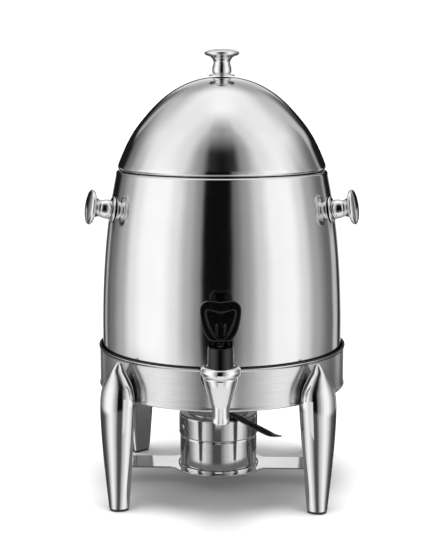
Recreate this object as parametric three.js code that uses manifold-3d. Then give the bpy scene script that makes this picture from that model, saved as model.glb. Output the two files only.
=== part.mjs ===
// Hot-beverage urn on a four-legged stand with a chafing-fuel burner.
// Millimetres, +Z up, front (faucet side) towards -Y, feet on z = 0.
import * as THREE from 'three';
import { mergeVertices } from 'three/addons/utils/BufferGeometryUtils.js';
import Module from 'manifold-3d';

const wasm = await Module();
wasm.setup();

// ---------- driving dimensions ----------
const Y_SHIFT = 28.10;          // puts the origin under the middle of the bounding box
const STAND_TURN = -2.35;       // deg, the stand sits slightly turned under the urn
const SEG_BIG = 40;             // facets of the large round sheet parts
const SEG_MID = 30;
const SEG_KNOB = 16;
const SEG_SMALL = 12;

const BAND_R = 146.3, BAND_T = 1.0, BAND_TOP = 173.7, BAND_BOTTOM = 124.4;
const FLANGE_IN_R = 118, FLANGE_T = 1.1;
const NOTCH_W = 17.2, NOTCH_Z = 164.5;

const LEG_IN_R = 147.95;        // flat inner face of a leg at the band
const LEG_TOP = 171.5, LEG_WALL = 1.8, LEG_FLOOR = 3.2;
const LEG_SCREW_Z = 140;

const SHELF_TOP = 22, SHELF_T = 2, SHELF_W = 44, SHELF_X = 134, SHELF_TAB = 13;
const SHELF_RING_R = 56.5, SHELF_RIM_R = 48.6, SHELF_RIM_H = 2.5;
const SHELF_SCREW_X = 127;

const BURNER_X = -4.4, BURNER_Y = 0;
const CUP_R = 46.4, CUP_FLOOR = 22.4, CUP_TOP = 83.4;
const COVER_R = 47.6, COVER_TOP = 85.8, COVER_SKIRT = 61, COVER_HOLE_R = 30;
const STUD_Z = 73, STUD_AZ = 60;
const DAMPER_R = 36.5, LEVER_AZ = -59.4, PIVOT_R = 41.2;

const URN_BOTTOM = 126.0, URN_TOP = 379.8;
const FAUCET_X = -1.3, FAUCET_Y = -182, SHANK_Z = 163, SHANK_R = 9.4;
const PIN_Z = 211.5;

const KNOB_AZ = 18;             // deg forward of the sideways direction
const KNOB_Z = 336.5;
const LID_APEX = 488.5;

// ---------- helpers ----------
const rad = (d) => d * Math.PI / 180;
const group = new THREE.Group();
group.name = 'beverage_urn';
const main = new THREE.Group();          // urn axis at its own origin
main.position.set(0, Y_SHIFT, 0);
group.add(main);
const stand = new THREE.Group(), urn = new THREE.Group(), lidGroup = new THREE.Group(), faucet = new THREE.Group(), burner = new THREE.Group();
stand.rotation.z = STAND_TURN * Math.PI / 180;
faucet.position.set(FAUCET_X, FAUCET_Y, 0);
burner.position.set(BURNER_X, BURNER_Y, 0).applyAxisAngle(new THREE.Vector3(0, 0, 1), STAND_TURN * Math.PI / 180);
main.add(stand, urn, burner);
urn.add(lidGroup, faucet);

function indexed(verts, tris) {
  const g = new THREE.BufferGeometry();
  g.setAttribute('position', new THREE.Float32BufferAttribute(verts.flat(), 3));
  g.setIndex(tris.flat());
  if (volume(g) < 0) flip(g);
  return g;
}
function flip(g) {
  const ix = Array.from(g.index.array);
  for (let i = 0; i < ix.length; i += 3) [ix[i + 1], ix[i + 2]] = [ix[i + 2], ix[i + 1]];
  g.setIndex(ix);
}
function volume(g) {
  const p = g.attributes.position, ix = g.index;
  let v = 0;
  const a = new THREE.Vector3(), b = new THREE.Vector3(), c = new THREE.Vector3();
  for (let i = 0; i < ix.count; i += 3) {
    a.fromBufferAttribute(p, ix.getX(i)); b.fromBufferAttribute(p, ix.getX(i + 1)); c.fromBufferAttribute(p, ix.getX(i + 2));
    v += a.dot(b.cross(c));
  }
  return v / 6;
}
// closed body of revolution about +Z from an r,z outline that starts and ends on the axis or closes on itself
function revolve(profile, seg, phase = 0) {
  const pts = profile.map(([r, z]) => new THREE.Vector2(r, z));
  if (!(profile[0][0] === 0 && profile[profile.length - 1][0] === 0)) pts.push(pts[0].clone());
  const g = clean(new THREE.LatheGeometry(pts, seg, phase, 2 * Math.PI).rotateX(Math.PI / 2));
  if (volume(g) < 0) flip(g);
  return g;
}
// closed body through rings of equal point count; both ends are capped
function loft(rings) {
  const verts = [], rows = [];
  for (const ring of rings) { rows.push(ring.map((p) => { verts.push(p); return verts.length - 1; })); }
  const tris = [], n = rings[0].length;
  for (let k = 0; k + 1 < rows.length; k++) for (let i = 0; i < n; i++) {
    const j = (i + 1) % n, A = rows[k], B = rows[k + 1];
    tris.push([A[i], B[i], B[j]]); tris.push([A[i], B[j], A[j]]);
  }
  const cap = (row, flip) => {
    const c = [0, 0, 0];
    for (const q of row) for (let d = 0; d < 3; d++) c[d] += verts[q][d] / row.length;
    const m = verts.length; verts.push(c);
    for (let i = 0; i < n; i++) { const j = (i + 1) % n; tris.push(flip ? [m, row[j], row[i]] : [m, row[i], row[j]]); }
  };
  cap(rows[0], false); cap(rows[rows.length - 1], true);
  return indexed(verts, tris);
}
// prism: outline in a,b extruded along the third direction
function prism(outline, depth, bevel = 0) {
  const s = new THREE.Shape(outline.map(([x, y]) => new THREE.Vector2(x, y)));
  const g = new THREE.ExtrudeGeometry(s, bevel > 0
    ? { depth: depth - 2 * bevel, bevelEnabled: true, bevelThickness: bevel, bevelSize: bevel, bevelOffset: -bevel, bevelSegments: 2, curveSegments: 1 }
    : { depth, bevelEnabled: false, curveSegments: 1 });
  if (bevel > 0) g.translate(0, 0, bevel);
  return g;
}
function clean(g) {
  const h = g.clone();
  h.deleteAttribute('normal'); h.deleteAttribute('uv');
  const m = mergeVertices(h, 1e-4), ix = m.index.array, tri = [];
  for (let i = 0; i < ix.length; i += 3) if (ix[i] !== ix[i + 1] && ix[i + 1] !== ix[i + 2] && ix[i] !== ix[i + 2]) tri.push(ix[i], ix[i + 1], ix[i + 2]);
  m.setIndex(tri);
  return m;
}
function solid(g) {
  const h = clean(g);
  return new wasm.Manifold(new wasm.Mesh({ numProp: 3, vertProperties: new Float32Array(h.attributes.position.array), triVerts: new Uint32Array(h.index.array) }));
}
function geom(m) {
  const q = m.getMesh(), g = new THREE.BufferGeometry();
  g.setAttribute('position', new THREE.Float32BufferAttribute(Array.from(q.vertProperties), 3));
  g.setIndex(Array.from(q.triVerts));
  return g;
}
const place = (g, m) => { const h = g.clone(); h.applyMatrix4(m); return h; };
const move = (g, x, y, z) => place(g, new THREE.Matrix4().makeTranslation(x, y, z));
const turnZ = (g, deg) => place(g, new THREE.Matrix4().makeRotationZ(rad(deg)));
// frame whose local +Z runs along dir, local +Y as near to up as possible
function along(dir, origin, up = [0, 0, 1]) {
  const z = new THREE.Vector3(...dir).normalize(), u = new THREE.Vector3(...up);
  const x = new THREE.Vector3().crossVectors(u, z);
  if (x.length() < 1e-6) x.set(1, 0, 0);
  x.normalize();
  const y = new THREE.Vector3().crossVectors(z, x);
  return new THREE.Matrix4().makeBasis(x, y, z).setPosition(...origin);
}
const rod = (r, l, seg = SEG_SMALL) => revolve([[0, 0], [r, 0], [r, l], [0, l]], seg);

const MATS = {
  mirror_steel: [0xd6d8da, 1.0, 0.08], steel: [0xc4c6c8, 1.0, 0.3], chrome: [0xe2e4e6, 1.0, 0.05],
  black_plastic: [0x151515, 0.0, 0.35], silicone: [0xb8bab4, 0.0, 0.8], rubber: [0x1c1c1c, 0.0, 0.9], dark_steel: [0x4a4b4d, 1.0, 0.3],
};
function add(name, geometry, mat, parent = urn, matrix = null) {
  const [color, metalness, roughness] = MATS[mat];
  const g = clean(geometry).toNonIndexed();
  g.computeVertexNormals();
  const m = new THREE.Mesh(g, new THREE.MeshStandardMaterial({ name: mat, color, metalness, roughness }));
  m.name = name;
  if (matrix) m.applyMatrix4(matrix);
  parent.add(m);
}
const spin = (deg) => new THREE.Matrix4().makeRotationZ(rad(deg));

// ---------- stand: band with rolled rim, inward flange, faucet notch ----------
const bandProfile = [
  [FLANGE_IN_R, BAND_BOTTOM], [145.0, BAND_BOTTOM], [147.1, 126.0], [BAND_R, 129.0],
  [BAND_R, 169.9], [147.6, 171.6], [147.1, 173.2], [146.0, BAND_TOP], [144.7, 173.1], [144.4, 171.8],
  [BAND_R - BAND_T, 170.1], [BAND_R - BAND_T, 128.0], [143.7, BAND_BOTTOM + FLANGE_T], [FLANGE_IN_R, BAND_BOTTOM + FLANGE_T],
];
const legAngles = { front_left: 225, front_right: 315, rear_left: 135, rear_right: 45 };
const legDir = (a) => [Math.cos(rad(a)), Math.sin(rad(a)), 0];
let band = solid(revolve(bandProfile, SEG_BIG, Math.PI / SEG_BIG));
{
  const o = [];
  for (let i = 0; i <= 10; i++) { const a = Math.PI + Math.PI * i / 10; o.push([NOTCH_W * Math.cos(a), NOTCH_Z + NOTCH_W * Math.sin(a)]); }
  o.push([NOTCH_W, 168.5], [NOTCH_W + 1.4, 171.6], [NOTCH_W + 4.2, 175.5], [-NOTCH_W - 4.2, 175.5], [-NOTCH_W - 1.4, 171.6], [-NOTCH_W, 168.5]);
  const cut = place(prism(o, 40), new THREE.Matrix4().makeBasis(new THREE.Vector3(1, 0, 0), new THREE.Vector3(0, 0, 1), new THREE.Vector3(0, -1, 0)).setPosition(0, -125, 0));
  band = band.subtract(solid(cut));
  for (const a of Object.values(legAngles)) {
    const d = legDir(a);
    band = band.subtract(solid(place(rod(2.6, 12), along(d, [138 * d[0], 138 * d[1], LEG_SCREW_Z]))));
  }
  for (const s of [-1, 1]) band = band.subtract(solid(move(rod(2.5, 6), s * SHELF_SCREW_X + 0, 0, 122)));
}
add('stand_band', geom(band), 'mirror_steel', stand);

// ---------- legs: hollow bullet shapes, oval in section and cut flat towards the band ----------
// z, inner face radius, half width, depth, inner face to widest line, flat width / full width
const legRows = [
  [LEG_TOP, 156.1, 2.1, 4.2, 1.8, 0.7], [170, 154.5, 3.4, 7.4, 3.2, 0.7], [167.5, 153.2, 4.8, 10.6, 4.4, 0.66], [163.5, 152.0, 6.6, 14.9, 5.5, 0.6],
  [158.5, 150.6, 11.0, 18.0, 6.8, 0.56], [152, 148.6, 15.8, 23.3, 8.5, 0.56], [145, 147.95, 20.6, 27.0, 9.0, 0.58], [137, 147.95, 22.8, 29.4, 9.0, 0.6],
  [126, 148.0, 23.6, 30.6, 9.0, 0.62], [110, 148.6, 23.0, 30.2, 8.8, 0.64], [86, 149.9, 21.2, 28.2, 8.0, 0.7], [60, 151.0, 18.8, 25.2, 7.0, 0.78],
  [36, 152.0, 16.0, 22.4, 6.0, 0.85], [16, 152.8, 13.7, 19.8, 5.0, 0.92], [LEG_FLOOR, 153.4, 12.0, 18.2, 4.5, 0.95],
];
function legRing(z, rin, a, b, e, k, inset = 0) {
  const ring = [], N = 8;
  const mid = rin + e, aa = a - inset, outer = b - e - inset, inner = e / Math.sqrt(1 - k * k) - inset;
  const start = Math.acos((e - inset) / inner);           // the flat cut across the inner half
  for (let i = 0; i < 2; i++) { const f = start + (Math.PI / 2 - start) * i / 2; ring.push([mid - inner * Math.cos(f), -aa * Math.sin(f), z]); }
  for (let i = 0; i <= N; i++) { const t = -Math.PI / 2 + Math.PI * i / N; ring.push([mid + outer * Math.max(Math.cos(t), 0), aa * Math.sin(t), z]); }
  for (let i = 1; i >= 0; i--) { const f = start + (Math.PI / 2 - start) * i / 2; ring.push([mid - inner * Math.cos(f), aa * Math.sin(f), z]); }
  ring.push([rin + inset, 0, z]);
  return ring;
}
function legGeometry() {
  const at = (z) => {
    for (let k = 0; k + 1 < legRows.length; k++) {
      const A = legRows[k], B = legRows[k + 1];
      if (z <= A[0] && z >= B[0]) { const t = (A[0] - z) / (A[0] - B[0]); return A.map((v, i) => v + t * (B[i] - v)); }
    }
    return legRows[legRows.length - 1];
  };
  const rings = legRows.map((q) => legRing(...q));
  for (const z of [LEG_FLOOR, 60, 110, 140, 158]) { const q = at(z); rings.push(legRing(z, ...q.slice(1), LEG_WALL)); }
  return loft(rings);
}
const legLocal = legGeometry();
const legHole = solid(place(rod(2.5, 10), along([1, 0, 0], [143, 0, LEG_SCREW_Z])));
const leg = geom(solid(legLocal).subtract(legHole));
function footGeometry() {
  const q = legRows[legRows.length - 1];
  return loft([
    legRing(0, q[1] + 1.2, q[2] - 1.8, q[3] - 2.6, q[4], q[5]), legRing(0.7, q[1] + 0.6, q[2] - 0.9, q[3] - 1.4, q[4], q[5]),
    legRing(2.8, q[1] + 0.5, q[2] - 0.7, q[3] - 1.1, q[4], q[5]),
    legRing(2.8, ...q.slice(1), LEG_WALL + 0.45), legRing(10, ...q.slice(1), LEG_WALL + 0.6),
  ]);
}
const foot = footGeometry();
// pan-head screw, head towards -Z, shank along +Z from z = 0
const screw = (headR, headT, r, l, seg = 10) => revolve([[0, -headT], [headR * 0.62, -headT], [headR, -headT * 0.45], [headR, 0], [r, 0], [r, l], [0, l]], seg);
const legScrew = screw(4.3, 2.0, 2.1, 5.9);
for (const [n, a] of Object.entries(legAngles)) {
  add(`leg_${n}`, leg, 'mirror_steel', stand, spin(a));
  add(`foot_${n}`, foot, 'rubber', stand, spin(a));
  add(`leg_screw_${n}`, legScrew, 'steel', stand, spin(a).multiply(along([1, 0, 0], [144.75, 0, LEG_SCREW_Z])));
}

// ---------- burner shelf: bent strip, round middle with upturned rim ----------
{
  const out = [[-SHELF_X + SHELF_TAB, BAND_BOTTOM - 0.35], [-SHELF_X + 2.2, BAND_BOTTOM - 0.35], [-SHELF_X + 0.6, BAND_BOTTOM - 1.0], [-SHELF_X, BAND_BOTTOM - 2.5],
    [-SHELF_X, SHELF_TOP + 2.2], [-SHELF_X + 0.9, SHELF_TOP - 0.8], [-SHELF_X + 4.2, SHELF_TOP - SHELF_T]];
  const inn = [[-SHELF_X + SHELF_TAB, BAND_BOTTOM - 0.35 - SHELF_T], [-SHELF_X + 3.0, BAND_BOTTOM - 0.35 - SHELF_T], [-SHELF_X + SHELF_T, BAND_BOTTOM - 3.6],
    [-SHELF_X + SHELF_T, SHELF_TOP + 2.4], [-SHELF_X + 2.6, SHELF_TOP + 0.7], [-SHELF_X + 4.4, SHELF_TOP]];
  const mir = (l) => l.map(([x, y]) => [-x, y]).reverse();
  // outer path left to right, then inner path right to left
  const path = [...out, ...mir(out), ...inn.map(([x, y]) => [-x, y]), ...inn.slice().reverse()];
  const strip = place(prism(path, SHELF_W), new THREE.Matrix4().makeBasis(new THREE.Vector3(1, 0, 0), new THREE.Vector3(0, 0, 1), new THREE.Vector3(0, -1, 0)).setPosition(0, SHELF_W / 2, 0));
  const ears = [];
  for (let i = 0; i < 48; i++) {
    const a = 2 * Math.PI * i / 48, x = Math.cos(a), y = Math.sin(a);
    const flare = Math.max(0, Math.abs(x) - 0.9) * 40;     // short fillet towards the strip
    ears.push([BURNER_X + (SHELF_RING_R + flare) * x, BURNER_Y + SHELF_RING_R * y]);
  }
  const plate = move(prism(ears, SHELF_T), 0, 0, SHELF_TOP - SHELF_T);
  const rim = move(revolve([[SHELF_RIM_R - 1.3, SHELF_TOP - 0.6], [SHELF_RIM_R, SHELF_TOP - 0.6], [SHELF_RIM_R, SHELF_TOP + SHELF_RIM_H - 0.5], [SHELF_RIM_R - 0.6, SHELF_TOP + SHELF_RIM_H], [SHELF_RIM_R - 1.3, SHELF_TOP + SHELF_RIM_H - 0.4]], SEG_MID), BURNER_X, BURNER_Y, 0);
  let shelf = solid(strip).add(solid(plate)).add(solid(rim));
  for (const s of [-1, 1]) shelf = shelf.subtract(solid(move(rod(2.5, 8), s * SHELF_SCREW_X, 0, 118)));
  add('burner_shelf', geom(shelf), 'mirror_steel', stand);
  for (const [n, s] of [['left', -1], ['right', 1]]) {
    const at = new THREE.Matrix4().makeTranslation(s * SHELF_SCREW_X, 0, BAND_BOTTOM - 0.35 - SHELF_T - 0.3);
    add(`shelf_screw_${n}`, screw(4.2, 2.0, 2.1, 3.3), 'steel', stand, at);
  }
}

// ---------- burner: cup, cover, studs, damper ----------
add('fuel_cup', revolve([[0, CUP_FLOOR], [44.6, CUP_FLOOR], [45.9, 23.0], [CUP_R, 24.4], [CUP_R, CUP_TOP], [CUP_R - 0.9, CUP_TOP], [CUP_R - 0.9, 24.9], [44.4, 23.5], [0, 23.4]], SEG_MID), 'steel', burner);
{
  let cover = solid(revolve([[COVER_HOLE_R, COVER_TOP - 0.9], [COVER_HOLE_R, COVER_TOP], [45.0, COVER_TOP], [46.9, COVER_TOP - 0.5], [COVER_R, COVER_TOP - 2.1],
    [COVER_R, COVER_SKIRT], [COVER_R - 0.8, COVER_SKIRT], [COVER_R - 0.8, COVER_TOP - 2.3], [46.2, COVER_TOP - 0.9]], SEG_MID));
  for (const s of [-1, 1]) {
    const a = rad(-90 + s * STUD_AZ), d = [Math.cos(a), Math.sin(a), 0];
    cover = cover.subtract(solid(place(rod(1.75, 6), along(d, [44 * d[0], 44 * d[1], STUD_Z]))));
  }
  const pa = rad(LEVER_AZ + 180), px = PIVOT_R * Math.cos(pa), py = PIVOT_R * Math.sin(pa);
  cover = cover.subtract(solid(move(rod(1.9, 8), px, py, COVER_TOP - 5)));
  add('burner_cover', geom(cover), 'steel', burner);
  // studs riveted into the skirt
  const stud = revolve([[0, 0], [1.4, 0], [1.4, 1.35], [3.5, 1.35], [3.4, 2.1], [2.4, 2.9], [0, 3.2]], SEG_SMALL);
  for (const [n, s] of [['left', -1], ['right', 1]]) {
    const a = rad(-90 + s * STUD_AZ), d = [Math.cos(a), Math.sin(a), 0];
    add(`cover_stud_${n}`, stud, 'steel', burner, along(d, [46.85 * d[0], 46.85 * d[1], STUD_Z]));
  }
  // damper disc: shallow inverted dish with a pivot ear
  const dz = COVER_TOP + 0.35;
  let disc = solid(revolve([[0, dz + 0.55], [35.3, dz + 0.55], [35.6, dz], [DAMPER_R, dz], [DAMPER_R - 0.1, dz + 0.9], [DAMPER_R - 0.9, dz + 1.45], [0, dz + 1.45]], SEG_MID));
  const ear = [];
  for (let i = 0; i <= 10; i++) { const a = Math.PI / 2 - Math.PI * i / 10; ear.push([PIVOT_R + 4.6 * Math.cos(a), 4.6 * Math.sin(a)]); }
  ear.push([31, -8.5], [31, 8.5]);
  disc = disc.add(solid(turnZ(move(prism(ear, 0.9), 0, 0, dz + 0.1), LEVER_AZ + 180))).subtract(solid(move(rod(1.9, 8), px, py, dz - 3)));
  add('damper_disc', geom(disc), 'steel', burner);
  add('damper_pivot_rivet', revolve([[0, COVER_TOP - 2.7], [2.6, COVER_TOP - 2.7], [3.0, COVER_TOP - 1.3], [1.5, COVER_TOP - 1.3], [1.5, dz + 1.4], [3.6, dz + 1.4], [3.3, dz + 2.3], [1.8, dz + 2.9], [0, dz + 3.0]], SEG_SMALL), 'steel', burner, new THREE.Matrix4().makeTranslation(px, py, 0));
  // lever: arched strip lying on the disc, sagging a little, flattened and raised at the tip
  const L = [ // distance from burner centre, underside height, half width, height
    [27, dz + 1.8, 3.2, 1.8], [29, dz + 1.75, 4.4, 3.0], [37, dz + 1.75, 4.8, 3.7], [50, 87.2, 5.0, 4.0], [73, 86.0, 5.1, 4.2], [100, 85.0, 5.2, 4.2],
    [112, 84.8, 5.2, 3.7], [119, 85.1, 5.2, 2.6], [127, 86.2, 5.0, 1.9], [134, 87.6, 3.9, 1.7], [137.5, 88.4, 2.2, 1.5], [139, 88.7, 0.8, 1.2]];
  const rings = L.map(([u, z, w, h]) => [[u, -w, z + 0.15 * h], [u, -w * 0.55, z], [u, w * 0.55, z], [u, w, z + 0.15 * h], [u, w * 0.93, z + 0.5 * h], [u, w * 0.62, z + 0.86 * h], [u, 0, z + h], [u, -w * 0.62, z + 0.86 * h], [u, -w * 0.93, z + 0.5 * h]]);
  add('damper_lever', loft(rings), 'dark_steel', burner, spin(LEVER_AZ));
}

// ---------- urn body ----------
const wall = [[URN_BOTTOM, 126], [129.0, 135.0], [137.0, 140.0], [152, 142.3], [174, 142.9], [203, 142.7], [230, 142.0],
  [255, 140.9], [280, 139.1], [303, 136.9], [324, 134.3], [343, 131.3], [360, 128.0], [370, 125.9], [375.5, 125.0]];
const wallR = (z) => { for (let k = 0; k + 1 < wall.length; k++) if (z >= wall[k][0] && z <= wall[k + 1][0]) { const t = (z - wall[k][0]) / (wall[k + 1][0] - wall[k][0]); return wall[k][1] + t * (wall[k + 1][1] - wall[k][1]); } return 0; };
const WALL_T = 1.1;
const bodyProfile = [[0, 129.0], [112, 128.0], [120, URN_BOTTOM], ...wall.map(([z, r]) => [r, z]), [123.6, 378.6], [120.8, URN_TOP], [117.6, 379.0], [117.4, 377.0],
  [118.9, 378.4], [121.8, 378.2], [123.8, 375.2], [126.9, 359.7], [133.2, 323.8], [138.0, 279.8],
  [141.5, 205], [141.2, 152.2], [138.9, 137.7], [134.3, 130.2], [125.6, 127.2], [120.2, 127.2], [112, 129.1], [0, 130.1]];
const knobTilt = Math.atan2(wallR(324) - wallR(343), 19);
const knobSides = { left: -1, right: 1 };
const knobFrame = (s) => {
  const a = rad(KNOB_AZ), e = [s * Math.cos(a), -Math.sin(a), 0], r = wallR(KNOB_Z);
  const dir = [Math.cos(knobTilt) * e[0], Math.cos(knobTilt) * e[1], Math.sin(knobTilt)];
  return { dir, at: (t) => [e[0] * r + dir[0] * t, e[1] * r + dir[1] * t, KNOB_Z + dir[2] * t] };
};
{
  let body = solid(revolve(bodyProfile, SEG_BIG, Math.PI / SEG_BIG));
  body = body.subtract(solid(place(rod(9.9, 20, 20), along([0, -1, 0], [FAUCET_X, -132, SHANK_Z]))));
  for (const s of Object.values(knobSides)) { const f = knobFrame(s); body = body.subtract(solid(place(rod(2.3, 12), along(f.dir, f.at(-6))))); }
  add('urn_body', geom(body), 'mirror_steel');
}

// ---------- knobs (one pattern, three places) ----------
const knob = revolve([[0, 12], [2.1, 12], [2.1, 2.9], [10.2, 2.9], [11.1, 5.0], [11.2, 8.0], [10.5, 12.0], [9.7, 15.6], [10.2, 18.2], [12.2, 21.4],
  [15.6, 23.1], [18.9, 24.3], [20.4, 26.4], [19.6, 28.3], [15.0, 30.1], [8.0, 31.1], [0, 31.5]], SEG_KNOB);
const knobFlange = revolve([[2.4, 0.35], [15.2, 0.35], [14.6, 1.7], [12.0, 2.6], [2.4, 2.6]], SEG_KNOB);
const knobScrew = screw(4.2, 2.2, 1.75, 11.2);
for (const [n, s] of Object.entries(knobSides)) {
  const f = knobFrame(s), m = along(f.dir, f.at(0));
  add(`side_knob_${n}`, knob, 'chrome', urn, m);
  add(`side_knob_flange_${n}`, knobFlange, 'chrome', urn, m);
  add(`side_knob_screw_${n}`, knobScrew, 'steel', urn, along(f.dir, f.at(-WALL_T - 1.2)));
}

// ---------- lid ----------
{
  const outer = [[0, LID_APEX], [16, 487.6], [32, 484.1], [47.4, 477.9], [61.5, 469.4], [75.5, 457.8], [88.5, 444.2], [100.0, 429.8],
    [109.6, 414.6], [117.0, 399.2], [122.0, 386.8], [122.3, 382.6], [119.6, 380.4], [116.4, 380.4], [116.4, 369.5], [115.4, 369.5],
    [115.4, 381.4], [119.6, 381.6], [121.0, 384.8], [116.0, 398.8], [99.1, 429.2], [74.7, 457.1], [46.8, 476.9], [30, 483.5], [14, 486.7], [0, 487.4]];
  const lid = solid(revolve(outer, SEG_BIG, Math.PI / SEG_BIG)).subtract(solid(move(rod(2.3, 8), 0, 0, 484)));
  add('lid_shell', geom(lid), 'mirror_steel', lidGroup);
  const m = along([0, 0, 1], [0, 0, LID_APEX], [0, 1, 0]);
  add('lid_knob', knob, 'chrome', lidGroup, m);
  add('lid_knob_flange', knobFlange, 'chrome', lidGroup, m);
  add('lid_knob_screw', knobScrew, 'steel', lidGroup, along([0, 0, 1], [0, 0, LID_APEX - 1.7], [0, 1, 0]));
}

// ---------- faucet ----------
const atFaucet = (g) => move(g, FAUCET_X, FAUCET_Y, 0);
{
  const outer = [[7.4, 122.4], [9.5, 122.9], [9.3, 125.6], [9.1, 136.5], [10.4, 142.5], [15.1, 157.5], [18.0, 168.0], [18.3, 172.8],
    [20.6, 175.3], [21.7, 179.0], [20.9, 182.8], [18.0, 184.9], [15.7, 184.5], [15.5, 181.0],
    [13.6, 181.0], [13.6, 157], [8.0, 150.6], [6.3, 149.0]];
  let fb = solid(atFaucet(revolve(outer, 24)));
  const shankEnd = -129;
  const shank = place(revolve([[0, 0], [12.0, 0], [12.0, 3.2], [11.2, 4.4], [SHANK_R + 0.6, 6.5], [SHANK_R + 0.6, 25], [0, 25]], 20), along([0, -1, 0], [FAUCET_X, -146.3, SHANK_Z]));
  const stub = place(rod(SHANK_R, 20, 20), along([0, -1, 0], [FAUCET_X, shankEnd, SHANK_Z]));
  fb = fb.add(solid(shank)).add(solid(stub));
  fb = fb.subtract(solid(place(rod(5.6, 45, 14), along([0, -1, 0], [FAUCET_X, shankEnd + 2, SHANK_Z]))));
  // clear the valve chamber of the shank's inner end
  fb = fb.subtract(solid(atFaucet(revolve([[0, 149], [6.3, 149], [8.0, 150.6], [13.6, 157], [13.6, 180], [0, 180]], 24))));
  add('faucet_body', geom(fb), 'chrome', urn);
}
const ring = (ri, ro, t, seg = 20) => revolve([[ri, 0], [ro, 0], [ro, t], [ri, t]], seg);
add('faucet_outer_washer', ring(SHANK_R + 0.35, 11.7, 2.4), 'silicone', urn, along([0, -1, 0], [FAUCET_X, -143.3, SHANK_Z]));
add('faucet_inner_washer', ring(SHANK_R + 0.35, 12.2, 2.0), 'silicone', urn, along([0, 1, 0], [FAUCET_X, -140.3, SHANK_Z]));
{
  const hex = [];
  for (let i = 0; i < 6; i++) hex.push([14 * Math.cos(i * Math.PI / 3), 14 * Math.sin(i * Math.PI / 3)]);
  const nut = solid(prism(hex, 5.5)).subtract(solid(move(rod(SHANK_R + 0.3, 12, 20), 0, 0, -3)));
  add('faucet_locknut', geom(nut), 'steel', urn, along([0, 1, 0], [FAUCET_X, -137.9, SHANK_Z]));
}
{
  let bonnet = solid(revolve([[3.4, 176], [13.1, 176], [13.1, 181.4], [15.1, 181.4], [15.1, 183.4], [14.1, 184.4], [13.9, 186], [13.9, 204.8], [12.9, 206.2], [3.4, 206.2]], 24));
  const lug = [];
  for (let i = 0; i <= 8; i++) { const a = Math.PI * i / 8; lug.push([4.6 * Math.cos(a), PIN_Z + 4.6 * Math.sin(a)]); }
  lug.push([-5.2, 205], [5.2, 205]);
  for (const s of [-1, 1]) {
    const m = new THREE.Matrix4().makeBasis(new THREE.Vector3(0, 1, 0), new THREE.Vector3(0, 0, 1), new THREE.Vector3(1, 0, 0)).setPosition(s > 0 ? 8.7 : -12.5, 0, 0);
    bonnet = bonnet.add(solid(place(prism(lug, 3.8), m)));
  }
  bonnet = bonnet.subtract(solid(place(rod(1.85, 30), along([1, 0, 0], [-15, 0, PIN_Z]))));
  add('faucet_bonnet', geom(bonnet), 'black_plastic', faucet);
  add('faucet_handle_pin', rod(1.55, 25, 14), 'steel', faucet, along([1, 0, 0], [-12.5, 0, PIN_Z]));
}
{
  // paddle outline, half widths against height
  const hw = [[214.2, 9.5], [217.1, 13.4], [223.5, 17.2], [229.9, 19.3], [236.3, 20.6], [242.7, 21.5], [249.2, 21.7], [253.2, 20.4], [255.8, 17.6], [256.9, 14.5]];
  const o = [...hw.map(([z, w]) => [w, z]), [6, 256.8], [0, 255.9], [-6, 256.8], ...hw.slice().reverse().map(([z, w]) => [-w, z])];
  const XZ = (y) => new THREE.Matrix4().makeBasis(new THREE.Vector3(1, 0, 0), new THREE.Vector3(0, 0, 1), new THREE.Vector3(0, -1, 0)).setPosition(0, y, 0);
  let h = solid(place(prism(o, 7.0, 1.1), XZ(-5.6)));
  const rec = [[5.4, 216.6], [8.6, 219.4], [12.2, 224.2], [14.6, 231.0], [15.8, 238.0], [16.5, 245.6], [14.6, 247.8], [7, 246.6], [0, 245.2]];
  const ro = [...rec, ...rec.slice(0, -1).reverse().map(([x, z]) => [-x, z])];
  h = h.subtract(solid(place(prism(ro, 6), XZ(-9.8))));
  const rib = [[4.9, 216.0], [5.0, 231.6], [4.0, 233.6], [-4.0, 233.6], [-5.0, 231.6], [-4.9, 216.0]];
  h = h.add(solid(place(prism(rib, 2.6), XZ(-9.2))));
  // hub between the bonnet lugs, carried by a short web
  const hub = [];
  for (let i = 0; i <= 12; i++) { const a = -Math.PI / 2 - Math.PI * 0 + i * Math.PI / 12; hub.push([4.7 * Math.cos(a), PIN_Z + 4.7 * Math.sin(a)]); }
  hub.push([-2, 222], [-7.5, 224], [-7.5, 214.4], [-4.7, 210.2]);
  h = h.add(solid(place(prism(hub, 16.4), new THREE.Matrix4().makeBasis(new THREE.Vector3(0, 1, 0), new THREE.Vector3(0, 0, 1), new THREE.Vector3(1, 0, 0)).setPosition(-8.2, 0, 0))));
  // room for the stem between the two cheeks of the hub
  h = h.subtract(solid(move(new THREE.BoxGeometry(7.0, 11.4, 17.5), 0, 0.5, 208.7)));
  h = h.subtract(solid(place(rod(1.62, 30), along([1, 0, 0], [-15, 0, PIN_Z]))));
  add('faucet_handle', geom(h), 'black_plastic', faucet);
}
add('valve_stem', revolve([[0, 153.6], [4.6, 153.6], [5.4, 155.0], [5.4, 156.6], [2.3, 157.6], [2.3, 203.4], [2.9, 204.2], [2.9, 205.6], [0, 205.9]], 16), 'steel', faucet);
add('valve_seat_cup', revolve([[2.65, 158.1], [6.2, 157.3], [5.9, 153.6], [7.2, 152.4], [9.3, 153.8], [11.4, 158.6], [12.2, 164], [12.0, 168.6], [10.8, 168.6], [10.6, 163.6], [7.2, 160.6], [2.65, 160.6]], 16), 'silicone', faucet);

export default group;
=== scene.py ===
import math

import bmesh
import bpy
import numpy as np
from mathutils import Matrix, Vector


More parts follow.
